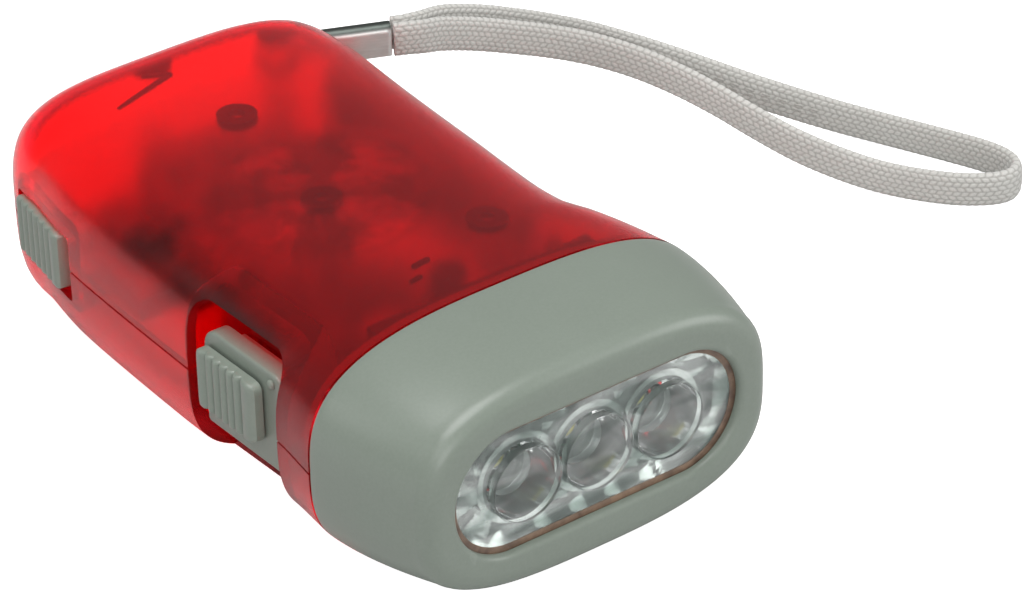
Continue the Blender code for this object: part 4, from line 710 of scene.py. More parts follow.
def latchPocket(name, inset):
    v = layout
    half = 0.5 * v["latchLength"] + v["pocketMargin"] + inset
    height = v["latchHalfHeight"] + v["pocketMargin"] + inset
    radii = (v["pocketRound"] + inset,) * 4
    outline = roundedOutline((-half - v["latchTravel"], -height), (half, height), radii)
    return latchFrame(sidePrism(name, outline, -2.0 * caseValues["wall"], v["pocketDepth"] + inset))


def stemSlot(near, far):  # the switch stem's way through its plate and the case
    v, tall = layout, layout["stemHalf"] + layout["slotGap"]
    return block("stemSlot", (near, v["stemY"] - tall - v["knobTravel"], -tall), (far, v["stemY"] + tall, tall))


# The train's stack of heights, and the bosses: place, low, high, seat radius, boss radius
trainValues = {"sectorHalf": 1.2, "runningGap": 0.1, "gearGap": 0.8, "gearWidth": 2.4, "bossGap": 0.4,
               "rotorDrop": 4.9, "magnet": 4.5, "axleRadius": 0.75, "bossRadius": 2.0}
firstWheelHigh = sum(trainValues[key] for key in ("sectorHalf", "runningGap", "gearGap", "gearWidth"))
axleHigh1 = firstWheelHigh + trainValues["bossGap"]
axleHigh2 = axleHigh1 + trainValues["gearGap"] + trainValues["gearWidth"]
magnetLow = -trainValues["rotorDrop"] - trainValues["magnet"]
bossRadii = (trainValues["axleRadius"], trainValues["bossRadius"])
bossValues = (
    (layout["firstAxis"], -trainValues["sectorHalf"] - trainValues["bossGap"], axleHigh1, *bossRadii),
    (layout["rotorAxis"], magnetLow - trainValues["bossGap"], axleHigh2, *bossRadii),
    (layout["leverPivot"], -9.4, 5.4, 1.1, 3.7),
)

# Posts, their holes, and dark collars and ribs just under the skin, which are painted shade where the posts'
# walls trap the light
postValues = {
    "upperRadius": 2.1, "lowerRadius": 2.4, "split": 0.15, "secondRadius": 2.0, "secondSeat": 1.05,
    "boardRadius": 1.1, "boardLow": 2.3, "crossRib": (6.0, 22.0, 23.2, 2.7),
    "cradles": ((-12.0, 33.0), (4.0, 35.5)), "cradleRadius": 1.4, "coreHalf": 1.4, "coreGap": 0.3,
    "cellStart": -14.5, "cellRun": 16.2, "contactGap": 0.8, "ribBite": 0.3,
    "contactRib": (1.0, 74.9, 80.9, -2.0),
    "pilotRadius": 1.1, "pilotHigh": 9.0, "seatGap": 0.3, "seatDepth": 2.5, "smallBoss": 3.0, "tipGap": 0.1,
    "screwTop": 14.65, "headDepth": 4.0, "headRadius": 1.7,
    "collarLows": (11.4, 10.3, 9.8, 11.4), "collarOuter": 2.45, "collarInner": 1.0, "collarLift": 0.02,
    "tipRadius": 0.75, "tipLow": 10.4, "tipHigh": 12.0, "ribLow": 11.9,
    "ribs": (
        ((-10.1, 78.7), (-9.9, 78.3), (-0.6, 81.1), (-0.8, 81.6)),
        ((-1.0, 81.1), (-0.6, 81.5), (-3.6, 83.2), (-3.9, 82.8)),
        ((-23.4, 76.0), (-23.2, 75.4), (-20.6, 76.4), (-20.9, 77.0)),
        ((-5.0, 26.7), (-2.6, 27.0), (-2.7, 27.5), (-5.1, 27.2)),
        ((-7.0, 24.4), (-5.4, 24.6), (-5.5, 25.0), (-7.1, 24.8)),
    ),
}


def crossRib(sign):
    v, top = postValues, caseValues["halfHeight"]
    half, front, rear, tall = v["crossRib"]
    low, high = sorted((sign * top, sign * (top - tall)))
    return block("rib", (-half, front, low), (half, rear, high))


def upperPosts():
    v, w, top = postValues, layout, caseValues["halfHeight"]
    lows = v["collarLows"]
    parts = [rod("post", at, v["upperRadius"], v["split"], low) for at, low in zip(w["screwPlaces"], lows)]
    for at, _, high, _, outer in bossValues:
        parts.append(rod("boss", at, outer, high, lows[-1] if outer < v["smallBoss"] else top))
    parts.append(rod("boss", w["secondAxis"], v["secondRadius"], axleHigh2, top))
    parts += [rod("boardPost", at, v["boardRadius"], v["boardLow"], top, 24) for at in w["boardPosts"]]
    return parts + [crossRib(1)]


def lowerPosts():
    v, w, top = postValues, layout, caseValues["halfHeight"]
    parts = [rod("post", at, v["lowerRadius"], -top, -v["split"]) for at in w["screwPlaces"]]
    parts += [rod("boss", at, outer, -top, low) for at, low, _, _, outer in bossValues]
    coreLow = magnetLow + 0.5 * trainValues["magnet"] - v["coreHalf"] - v["coreGap"]
    parts += [rod("cradle", at, v["cradleRadius"], -top, coreLow, 24) for at in v["cradles"]]
    width, front, rear, high = v["contactRib"]
    start, gap = v["cellStart"], v["contactGap"]
    ends = (start - gap - width, start + v["cellRun"] + gap - v["ribBite"])
    parts += [block("contactRib", (near, front, -top), (near + width, rear, high)) for near in ends]
    return parts + [crossRib(-1)]


def upperHoles():
    v, w = postValues, layout
    holes = [rod("pilot", at, v["pilotRadius"], 0.0, v["pilotHigh"], 24) for at in w["screwPlaces"]]
    for at, _, high, radius, outer in bossValues:
        end = v["tipHigh"] + v["tipGap"] if outer < v["smallBoss"] else high + v["seatDepth"]
        holes.append(rod("seat", at, radius + v["seatGap"], 0.0, end, 24))
    holes.append(rod("seat", w["secondAxis"], v["secondSeat"], 0.0, axleHigh2 + v["seatDepth"], 24))
    return holes


def lowerHoles():
    v, w = postValues, layout
    seat, end = v["headDepth"] - v["screwTop"], -v["screwTop"] - past
    profile = ((0.0, 0.0), (v["pilotRadius"], 0.0), (v["pilotRadius"], seat), (v["headRadius"], seat),
               (v["headRadius"], end), (0.0, end))
    holes = [moved(turned("screwHole", profile, 32), (*at, 0.0)) for at in w["screwPlaces"]]
    for at, low, _, radius, _ in bossValues:
        holes.append(rod("seat", at, radius + v["seatGap"], low - v["seatDepth"], 0.0, 24))
    return holes


def makeShadeCollars():
    v, w, top = postValues, layout, caseValues["halfHeight"]
    places = (*w["screwPlaces"], w["firstAxis"], w["rotorAxis"])
    parts = []
    for at, low in zip(places, (*v["collarLows"], v["collarLows"][-1])):
        outer, inner, lifted = v["collarOuter"], v["collarInner"], low + v["collarLift"]
        corners = ((outer, lifted), (outer, top), (inner, top), (inner, lifted))
        rings = [[(*point, z) for point in circlePoints(at, radius, 40)] for radius, z in corners]
        parts.append(tunnel("collar", rings))
    parts += [prism("rib", outline, v["ribLow"], top) for outline in v["ribs"]]
    marks = gathered("skinMarks", [trimmed(part, caseValues["skinInset"]) for part in parts])
    # painted shade: dark pieces under the skin where the posts' walls trap the light
    finished(smoothShaded(marks), "postCollars", finish["shadedRed"], "case", "clear_red_plastic")
    tip = rod("tip", w["rotorAxis"], v["tipRadius"], v["tipLow"], v["tipHigh"], 32)
    finished(smoothShaded(tip), "rotorAxleTip", brightMetal, "rotor", "steel")


# The strap's folded metal tab, and the block that it takes out of the case
crimpValues = {"angle": math.radians(-24.0), "end": (30.8, 80.4), "length": 12.2, "halfThickness": 1.15,
               "bottom": 5.7, "top": 9.9, "notch": 0.35, "sheet": 0.45, "eyeRadius": 2.4, "eyeWall": 0.7,
               "eyeTop": 7.4, "endStations": (-0.6, -0.1), "endShrink": 0.04}
crimpWay = Vector((math.cos(crimpValues["angle"]), math.sin(crimpValues["angle"]), 0.0))
crimpSide = Vector((-crimpWay.y, crimpWay.x, 0.0))
crimpEnd = Vector((*crimpValues["end"], 0.0))


def crimpBlock(name, grow):
    v = crimpValues
    half, reach = v["halfThickness"] + grow, v["length"] + grow
    corners = ((-reach, -half), (4 * grow, -half), (4 * grow, half), (-reach, half))
    outline = [(crimpEnd + crimpWay * a + crimpSide * b).xy for a, b in corners]
    return prism(name, outline, v["bottom"] - grow, v["top"] + grow)


def makeShells():
    v, w = layout, caseValues
    skin = w["wall"] - w["gap"]
    case = caseLoft("case", 0.0, w["seamY"] + w["gap"])
    cut(case, recessTool("recess", 0.0))
    cut(case, latchPocket("latchRecess", 0.0))
    cavity = caseLoft("cavity", w["wall"], w["seamY"] - past)
    cut(cavity, recessTool("recessWall", skin))
    cut(cavity, latchPocket("latchWall", skin))
    cut(case, cavity)
    high = v["windowHalfHeight"]
    outline = roundedOutline((v["windowFront"], -high), (v["windowRear"], high), (v["windowRound"],) * 4)
    cut(case, sidePrism("leverWindow", outline, v["leverPivot"][0], w["seamHalfWidth"] + past))
    cut(case, stemSlot(-v["recessFloor"] - past, v["slotReach"] - v["recessFloor"]))
    neck, tall = v["neckHalf"] + v["slotGap"], v["neckHalfHeight"] + v["slotGap"]
    reach = v["pocketDepth"] + v["slotReach"]
    cut(case, latchFrame(block("neckSlot", (0.0, -neck - v["latchTravel"], -tall), (reach, neck, tall))))
    big, half = 200.0, 0.5 * w["gap"]
    upper = linkObject("upper", case.data.copy())
    keep(upper, block("upperHalf", (-big, -big, half), (big, big, big)))
    keep(case, block("lowerHalf", (-big, -big, -big), (big, big, -half)))
    join(upper, trimmed(gathered("upperPosts", upperPosts()), w["trimInset"]))
    join(case, trimmed(gathered("lowerPosts", lowerPosts()), w["trimInset"]))
    cut(upper, gathered("upperHoles", upperHoles()))
    cut(case, gathered("lowerHoles", lowerHoles()))
    cut(upper, crimpBlock("notch", crimpValues["notch"]))
    finished(smoothShaded(upper), "upperShellSkin", clearRed, "case", "clear_red_plastic", "upper_shell")
    finished(smoothShaded(case), "lowerShellSkin", clearRed, "case", "clear_red_plastic", "lower_shell")


makeShells()
makeShadeCollars()
print("shells made")


# Bezel
bezelValues = {
    "rimHalfWidth": 23.1, "rimHalfHeight": 12.8, "rimRound": 2.4, "taperShare": 1.7,
    "openingHalfWidth": 19.6, "openingHalfHeight": 7.8, "openingLip": 0.7, "seatDepth": 1.0,
    "seatMargin": 1.3, "seatEnd": 2.9, "spigotLength": 2.9, "spigotWall": 1.2, "pointsRound": 176,
    "seamShrink": 0.9975, "seamShare": 0.012, "bodyRings": 15, "rimRings": 8, "lipRings": 6,
    "faceShares": (0.25, 0.5, 0.75), "innerShares": (0.80, 0.68, 0.55, 0.40, 0.25), "spigotShare": 0.10,
}


def bezelSection(share, inset):
    v, w = bezelValues, caseValues
    part = share ** v["taperShare"]
    width = w["seamHalfWidth"] + (v["rimHalfWidth"] - w["seamHalfWidth"]) * part - inset
    height = w["halfHeight"] + (v["rimHalfHeight"] - w["halfHeight"]) * part - inset
    return superellipse(width, width, height, w["exponents"][0], w["seamY"] * (1.0 - share), v["pointsRound"])


def openingRing(grow, y, count):  # stadium round the lamp opening
    halfWidth, halfHeight = bezelValues["openingHalfWidth"] + grow, bezelValues["openingHalfHeight"] + grow
    ring = []
    for i in range(count):
        angle = 2.0 * math.pi * (i + 0.5) / count
        c, s = math.cos(angle), math.sin(angle)
        ring.append((halfHeight * c + math.copysign(halfWidth - halfHeight, c), y, halfHeight * s))
    return ring


def quarter(steps, start=0):  # how far a rounded edge has gone in, and how far it still has to go
    angles = [0.5 * math.pi * i / steps for i in range(start, steps + 1)]
    return [(1.0 - math.cos(angle), 1.0 - math.sin(angle)) for angle in angles]


def makeBezel():
    v, w = bezelValues, caseValues
    count, lip = v["pointsRound"], v["openingLip"]
    roundShare, shrink = 1.0 - v["rimRound"] / w["seamY"], v["seamShrink"]
    rings = [[(x * shrink, y, z * shrink) for x, y, z in bezelSection(0.0, 0.0)]]
    for i in range(v["bodyRings"] + 1):
        rings.append(bezelSection(v["seamShare"] + (roundShare - v["seamShare"]) * i / v["bodyRings"], 0.0))
    for gone, left in quarter(v["rimRings"], 1):
        section = bezelSection(roundShare, v["rimRound"] * gone)
        rings.append([(x, v["rimRound"] * left, z) for x, _, z in section])
    flatRing, lipRing = rings[-1], openingRing(lip, 0.0, count)
    for share in v["faceShares"]:
        rings.append([tuple(a + (b - a) * share for a, b in zip(p, q)) for p, q in zip(flatRing, lipRing)])
    rings += [openingRing(lip * left, lip * gone, count) for gone, left in quarter(v["lipRings"])]
    rings.append(openingRing(0.0, v["seatDepth"], count))
    rings += [openingRing(v["seatMargin"], depth, count) for depth in (v["seatDepth"], v["seatEnd"])]
    rings += [bezelSection(share, w["wall"]) for share in v["innerShares"]]
    inset, tip = w["wall"] + w["gap"], w["seamY"] + v["spigotLength"]
    rings.append(bezelSection(v["spigotShare"], inset + v["spigotWall"]))
    rings.append(caseSection(tip, inset + v["spigotWall"], count))
    rings += [caseSection(y, inset, count) for y in (tip, w["seamY"])]
    bezel = smoothShaded(tunnel("bezel", rings), 40.0)
    finished(bezel, "bezelCap", greyPlastic, "case", "grey_plastic", "front_bezel")


makeBezel()
print("bezel made")


# Lamp head: the clear insert with its cups, the warm ring before it, which is a painted reflection, and the
# lamps
opticValues = {
    "flange": 1.2, "margin": 1.1, "pitch": 9.8, "domeRadius": 4.66, "frontRadius": 4.5, "rearRadius": 3.4,
    "depth": 7.8, "flare": 1.6, "boreRadius": 2.8, "boreDepth": 3.5, "boreDome": 0.9, "collarFront": 0.42,
    "collarFoot": 0.5, "crown": 0.36, "crownSteps": 10, "rimStep": 0.08, "rimWidth": 0.22, "rimEase": 0.06,
    "platePoints": 96, "wallSteps": 8, "boreSteps": 5,
}
lipReflectionValues = {
    "outer": 1.0, "inner": 0.70, "lip": 0.385, "gap": 0.04, "thick": 0.16, "lipDrop": 0.10, "points": 128,
}
frontFace = bezelValues["seatDepth"] + caseValues["gap"]
backFace = frontFace + opticValues["flange"]
cupSteps = (-1, 0, 1)


def cupRadius(share):
    v = opticValues
    return v["frontRadius"] + (v["rearRadius"] - v["frontRadius"]) * share ** v["flare"]


def makeOptic():
    v = opticValues
    plate = loft("plate", [openingRing(v["margin"], y, v["platePoints"]) for y in (frontFace, backFace)])
    outer, front, ease = v["domeRadius"] - v["rimWidth"], v["collarFront"], v["rimEase"]
    profile = [(0.0, front - v["crown"])]
    for i in range(1, v["crownSteps"] + 1):  # crowned front of each cup inside a thin ring, on a short collar
        radius = outer * i / v["crownSteps"]
        profile.append((radius, front - v["crown"] * (1.0 - (radius / outer) ** 2)))
    profile += [(outer + ease, front - v["rimStep"]), (v["domeRadius"] - ease, front - v["rimStep"]),
                (v["domeRadius"], front + v["rimStep"]), (v["domeRadius"], frontFace + v["collarFoot"])]
    steps = v["wallSteps"]
    profile += [(cupRadius(i / steps), backFace + v["depth"] * i / steps) for i in range(steps + 1)]
    rear = backFace + v["depth"]
    profile.append((v["boreRadius"], rear))
    steps = v["boreSteps"]
    for i in range(steps + 1):
        angle = 0.5 * math.pi * i / steps
        radius = v["boreRadius"] * math.cos(angle) if i < steps else 0.0
        profile.append((radius, rear - v["boreDepth"] - v["boreDome"] * math.sin(angle)))
    for step in cupSteps:
        join(plate, facing(turned("cup", profile, 64), (v["pitch"] * step, 0.0, 0.0)))
    finished(smoothShaded(plate, 25.0), "lampOptic", streakedClear, "case", "clear_plastic", "lens_optic")


def makeLipReflection():  # thin warm ring between the bezel's lip and the optic: painted reflection of the red-lit inside on the lip's wall
    v = lipReflectionValues
    corners = ((v["outer"], v["gap"]), (v["outer"], v["thick"]), (-v["lip"], v["thick"]),
               (-v["inner"], v["lipDrop"]), (-v["inner"], v["gap"]))
    seal = tunnel("seal", [openingRing(grow, frontFace - drop, v["points"]) for grow, drop in corners])
    finished(smoothShaded(seal, 40.0), "lensSeal", finish["warmLipReflection"], "case", "grey_plastic")


makeOptic()
makeLipReflection()


# Silvered tray: a ribbed floor between the cups and a fluted well round each cup
trayValues = {
    "depth": 4.0, "gap": 0.3, "floorBack": 2.3, "floorLap": 0.1, "columns": 150, "rows": 56, "points": 120,
    "fanWidth": 40.0, "facetWidth": 4.9, "facetDepth": 0.85, "facetEase": 0.8, "ribPitch": 2.3,
    "ribDepth": 0.16, "ribShift": 0.25, "bowl": 0.9, "bowlWidth": 1.7, "drillGap": 0.27, "wellGap": 0.22,
    "wellWall": 0.35, "flutes": 9,
    "fluteDepth": 0.45, "wellSteps": 10, "wellPoints": 128, "wellStart": 0.05, "wellShort": 0.3,
}


def sawtooth(value):  # 0 to 1 and back once in each whole number
    return abs(value % 1.0 - 0.5) * 2.0


def trayHeight(x, z, halfHeight):  # how far the floor's facets fall back from the tray's face
    v, pitch = trayValues, opticValues["pitch"]
    nearest = min(math.hypot(x - pitch * step, z) for step in cupSteps) - opticValues["domeRadius"]
    straight = bezelValues["openingHalfWidth"] - bezelValues["openingHalfHeight"]
    reach = math.hypot(max(0.0, abs(x) - straight), z)
    edge = min(1.0, max(0.0, (halfHeight - reach) / v["bowlWidth"]))
    fan = sawtooth(math.degrees(math.atan2(z, abs(x) - pitch)) / v["fanWidth"])
    facets = fan if abs(x) > pitch else sawtooth(x / v["facetWidth"])
    fall = v["facetDepth"] * facets * min(1.0, max(0.0, nearest) / v["facetEase"])
    return (v["bowl"] + fall + v["ribDepth"] * sawtooth(z / v["ribPitch"] + v["ribShift"])) * edge


def wellRing(step, low, share, extra, fluted):
    v, w = trayValues, opticValues
    radius = cupRadius(share) + v["wellGap"] + extra
    y = low + v["wellStart"] + (w["depth"] - v["wellShort"]) * share
    ring = []
    for i in range(v["wellPoints"]):
        turn = 2 * math.pi * i / v["wellPoints"]
        flute = (1.0 - abs(math.cos(0.5 * v["flutes"] * turn))) * math.sin(math.pi * share) if fluted else 1.0
        reach = radius + v["fluteDepth"] * flute
        ring.append((w["pitch"] * step + reach * math.cos(turn), y, reach * math.sin(turn)))
    return ring


def makeTray():
    v, w = trayValues, opticValues
    inset = w["margin"] - v["gap"]
    halfWidth, halfHeight = bezelValues["openingHalfWidth"] + inset, bezelValues["openingHalfHeight"] + inset
    low = backFace + v["gap"]
    ends = (low + v["floorBack"] - v["floorLap"], low + v["depth"])
    tray = loft("tray", [openingRing(inset, y, v["points"]) for y in ends])
    columns, rows, top = v["columns"], v["rows"], []
    for k in range(rows + 1):
        z = halfHeight * (2.0 * k / rows - 1.0)
        reach = halfWidth - halfHeight + math.sqrt(max(0.0, halfHeight ** 2 - z ** 2))
        for i in range(columns + 1):
            x = reach * (2.0 * i / columns - 1.0)
            top.append((x, low + trayHeight(x, z, halfHeight), z))
    join(tray, slab("floor", top, [(x, low + v["floorBack"], z) for x, _, z in top], columns + 1))
    for step in cupSteps:
        drill = rod("drill", (0.0, 0.0), w["frontRadius"] + v["drillGap"], -low - v["depth"] - past, 0.0, 96)
        cut(tray, facing(drill, (w["pitch"] * step, 0.0, 0.0), 1))
    finished(smoothShaded(tray, 12.0), "reflectorTray", silveredPlastic, "case", "bright_metal", "reflector")
    shares = [k / v["wellSteps"] for k in range(v["wellSteps"] + 1)]
    wells = []
    for step in cupSteps:
        rings = [wellRing(step, low, share, 0.0, True) for share in shares]
        rings += [wellRing(step, low, share, v["wellWall"], False) for share in reversed(shares)]
        wells.append(tunnel("well", rings))
    wells = smoothShaded(gathered("wells", wells), 20.0)
    finished(wells, "reflectorWells", silveredPlastic, "case", "bright_metal")


makeTray()


# Lamps: profiles run from the nose back to the base, as (radius, height under the base)
lampValues = {
    "radius": 2.5, "collarRadius": 2.9, "collarLength": 1.0, "length": 8.6, "base": 17.1, "domeStep": 10,
    "legPitch": 2.54, "legHalf": 0.25, "legTop": 0.78, "tail": 5.2, "cupShift": 0.3,
    "cup": ((0.0, -5.6), (0.35, -5.6), (0.95, -6.3), (1.05, -6.3), (1.05, -5.3), (0.5, -4.6), (0.3, -1.0),
            (0.0, -1.0)),
    "glow": ((0.0, -6.22), (0.5, -6.15), (0.82, -6.0), (0.40, -5.66), (0.0, -5.66)),
    "postLow": (-1.5, -6.0, -0.22), "postHigh": (-1.05, -0.8, 0.22),
}


def makeLamps():
    v = lampValues
    angles = [math.radians(a) for a in range(0, 91, v["domeStep"])]
    profile = [(v["radius"] * math.sin(a), v["radius"] * (1.0 - math.cos(a)) - v["length"]) for a in angles]
    profile += [(v["radius"], -v["collarLength"]), (v["collarRadius"], -v["collarLength"]),
                (v["collarRadius"], 0.0), (0.0, 0.0)]
    for index, step in enumerate(cupSteps, 1):
        base = Vector((opticValues["pitch"] * step, v["base"], 0.0))
        inCup = base + Vector((v["cupShift"], 0.0, 0.0))
        lamp = smoothShaded(facing(turned("lamp", profile, 48), base), 25.0)
        finished(lamp, f"lampBody{index}", clearEpoxy, "case", "clear_plastic", f"led_{index}")
        parts = [facing(turned("anvil", v["cup"], 32), inCup),
                 block("post", base + Vector(v["postLow"]), base + Vector(v["postHigh"]))]
        for sign in (-1, 1):
            leg, half = base + Vector((0.5 * v["legPitch"] * sign, 0.0, 0.0)), v["legHalf"]
            low, high = leg - Vector((half, v["legTop"], half)), leg + Vector((half, v["tail"], half))
            parts.append(block("leg", low, high))
        lead = smoothShaded(gathered("lead", parts), 30.0)
        finished(lead, f"lampFrame{index}", brightMetal, "case", "bright_metal")
        glow = smoothShaded(facing(turned("glow", v["glow"], 24), inCup), 30.0)
        finished(glow, f"lampPhosphor{index}", phosphorYellow, "case", "clear_plastic")


makeLamps()
print("lamp head made")


# Slides: the thumb switch on its plate, and the latch that holds the lever shut
switchValues = {
    "plateFront": 25.2, "plateRear": 41.2, "plateFace": 24.0, "plateHalf": 6.3, "plateThickness": 2.2,
    "plateRound": 2.6, "footRound": 0.6, "bevel": 0.35, "backInset": 1.8, "backRound": 0.5, "backGap": 0.3,
    "lap": 0.15, "knobEnds": (29.3, 40.7), "knobHeights": (-3.3, 4.4), "knobThickness": 1.5, "knobGap": 0.3,
    "stemLap": 0.7, "stemPast": 2.5, "corner": 1.1, "edge": 0.45, "bar": 2.7, "heel": 2.0, "ribs": 5,
    "ribDepth": 0.45, "dotDrop": 1.3,
    "dot": ((0.0, -0.4), (0.6, -0.4), (0.6, 0.15), (0.45, 0.34), (0.22, 0.42), (0.0, 0.45)),
}
latchValues = {
    "thickness": 2.1, "proud": 0.7, "corner": 0.5, "edge": 0.4, "bar": 2.2, "heel": 1.4, "ribs": 5,
    "ribDepth": 0.35, "neckStart": 0.35, "armFront": 57.2, "armThick": 1.4, "armHalf": 1.4, "hookReach": 5.4,
    "hookLength": 1.8,
}


def padSolid(name, outline, near, far, bevel, steps=4):  # outline in (y, z), near the buried face
    count, sign = len(outline), 1.0 if far > near else -1.0
    after = outline[1:] + outline[:1]
    area = sum(a[0] * b[1] - b[0] * a[1] for a, b in zip(outline, after))
    turn = 1.0 if area > 0 else -1.0
    normals = []
    for i in range(count):
        way = (Vector(after[i]) - Vector(outline[i - 1])).normalized()
        normals.append((way.y, -way.x))
    rings = [[(near, y, z) for y, z in outline]]
    for gone, left in quarter(steps):
        inset, x = turn * bevel * gone, far - sign * bevel * left
        rings.append([(x, y - n[0] * inset, z - n[1] * inset) for (y, z), n in zip(outline, normals)])
    return loft(name, rings)


def ribbedSection(front, rear, v, steps=12):  # (y, drop) along the shown face
    start, end, count = front + v["bar"], rear - v["heel"], v["ribs"] * steps
    points = [(front + (start - front) * i / 4, 0.0) for i in range(4)]
    for i in range(count + 1):
        wave = abs(math.sin(math.pi * i / count * v["ribs"]))  # round tops, tight grooves
        points.append((start + (end - start) * i / count, -v["ribDepth"] * (1.0 - wave ** 0.75)))
    return points + [(end + (rear - end) * i / 3, 0.0) for i in range(1, 4)]


def ribbedPad(name, faces, ends, heights, v, rows=18):  # ribs run up and down, edges and plan corners rounded
    (near, far), (front, rear), (low, high) = faces, ends, heights
    sign, corner, edge = 1.0 if far > near else -1.0, v["corner"], v["edge"]
    section = ribbedSection(front, rear, v)

    def reach(y, z):  # distance in from the pad's rounded outline
        dy, dz = min(y - front, rear - y), min(z - low, high - z)
        if dy < corner and dz < corner:
            return corner - math.hypot(corner - dy, corner - dz)
        return min(dy, dz)

    def cornered(y, z):
        cy = min(max(y, front + corner), rear - corner)
        cz = min(max(z, low + corner), high - corner)
        span = math.hypot(y - cy, z - cz)
        if (y - cy) and (z - cz):
            longest = max(abs(y - cy), abs(z - cz))
            return cy + (y - cy) * longest / span, cz + (z - cz) * longest / span
        return y, z

    shown, buried = [], []
    for i in range(rows + 1):
        z = low + (high - low) * (0.5 - 0.5 * math.cos(math.pi * i / rows))
        for y, drop in section:
            py, pz = cornered(y, z)
            t = min(1.0, max(0.0, reach(py, pz)) / edge)
            fall = edge * (1.0 - math.sqrt(max(0.0, 1.0 - (1.0 - t) ** 2)))
            shown.append((far + sign * (drop - fall), py, pz))
            buried.append((near, py, pz))
    return slab(name, shown, buried, len(section))


def makeSwitch():
    v, w = switchValues, layout
    face, floor, inset = -v["plateFace"], -w["recessFloor"], v["backInset"]
    back = face + v["plateThickness"]
    front, rear, half = v["plateFront"], v["plateRear"], v["plateHalf"]
    radii = (v["footRound"], v["plateRound"], v["plateRound"], v["footRound"])
    plate = padSolid("plate", roundedOutline((front, -half), (rear, half), radii, 10), back, face, v["bevel"])
    low, high = (front + inset, inset - half), (rear - inset, half - inset)
    foot = roundedOutline(low, high, (v["backRound"],) * 4, 3)
    join(plate, sidePrism("foot", foot, back - v["lap"], floor - v["backGap"]))
    cut(plate, stemSlot(face - past, floor))
    dot = rotated(turned("dot", v["dot"], 32), -0.5 * math.pi, "Y")
    join(plate, moved(dot, (face, front + v["plateRound"], half - v["dotDrop"])))
    finished(smoothShaded(plate), "switchPlate", greyPlastic, "case", "grey_plastic", "switch_plate")

    inner, half, at = face - v["knobGap"], w["stemHalf"], w["stemY"]
    knob = ribbedPad("knob", (inner, inner - v["knobThickness"]), v["knobEnds"], v["knobHeights"], v)
    low, high = (inner - v["stemLap"], at - half, -half), (floor + v["stemPast"], at + half, half)
    join(knob, block("stem", low, high))
    finished(smoothShaded(knob, 50.0), "switchKnob", greyPlastic, "switch_slide", "grey_plastic", "switch_knob")


def makeLatch():
    v, w = latchValues, layout
    end, high, proud = 0.5 * w["latchLength"], w["latchHalfHeight"], v["proud"]
    pad = ribbedPad("latch", (v["thickness"] - proud, -proud), (-end, end), (-high, high), v)
    near = w["pocketDepth"] + caseValues["wall"] + w["slotGap"]
    far, front = near + v["armThick"], v["armFront"] - w["latchCentre"][1]
    rear, tall, half = w["neckHalf"], w["neckHalfHeight"], v["armHalf"]
    join(pad, block("neck", (v["neckStart"], -rear, -tall), (far, rear, tall)))
    join(pad, block("arm", (near, front, -half), (far, rear, half)))
    join(pad, block("hook", (near, front, -half), (far + v["hookReach"], front + v["hookLength"], half)))
    latchFrame(pad)
    finished(smoothShaded(pad, 50.0), "latchSlide", greyPlastic, "latch", "grey_plastic", "lever_latch")


makeSwitch()
makeLatch()
print("slides made")


# Strap and its metal tab
strapValues = {
    "width": 4.5, "thickness": 1.6, "spread": 0.95, "tuck": 0.3, "straight": 1.5, "crossShare": 0.7,
    "step": 0.16, "around": 64, "rowPitch": 0.64, "dashPitch": 0.96, "dashLean": 0.35, "rowPower": 0.5,
    "dashPower": 0.6,
    "braidDepth": 0.13, "edgeSink": 0.3, "stitchPitch": 2.1, "stitchLength": 1.15, "stitchRadius": 0.11,
    "stitchShare": 0.35, "stitchHeights": (-0.34, 0.34), "stitchSink": 0.96,
}
strapRoute = (
    (35.5, 80.6, 7.4), (39.5, 81.4, 6.5), (45.0, 81.6, 4.6), (50.4, 80.9, 2.5), (55.8, 79.6, 0.3),
    (60.6, 77.6, -1.7), (64.5, 74.3, -3.3), (68.1, 70.7, -4.9), (71.5, 66.9, -6.5), (74.9, 63.0, -8.1),
    (78.5, 59.3, -9.7), (82.0, 55.5, -11.1), (85.0, 51.2, -11.9), (87.2, 46.4, -12.1), (89.1, 41.5, -12.1),
    (90.6, 37.2, -12.1), (91.1, 33.8, -12.1), (90.3, 31.2, -12.1), (88.2, 30.0, -12.1), (85.6, 30.7, -12.1),
    (82.3, 33.4, -12.1), (79.3, 37.5, -12.1), (76.6, 41.9, -11.8), (73.6, 46.1, -10.6), (70.8, 50.4, -9.0),
    (68.5, 55.4, -7.2), (66.5, 60.9, -5.4), (64.1, 65.9, -3.7), (61.2, 70.1, -2.1), (57.5, 73.5, -0.5),
    (53.1, 76.0, 1.1), (48.2, 77.6, 2.8), (42.7, 78.8, 4.7), (37.9, 79.0, 6.3), (34.6, 78.5, 7.3),
)
crimpMiddle = crimpEnd + Vector((0.0, 0.0, 0.5 * (crimpValues["bottom"] + crimpValues["top"])))


def strapEnds():
    v = strapValues
    reach = (v["tuck"], v["tuck"] + v["straight"])
    return [[crimpMiddle + crimpWay * ahead + crimpSide * sign * v["spread"] for ahead in order]
            for sign, order in ((1, reach), (-1, reach[::-1]))]


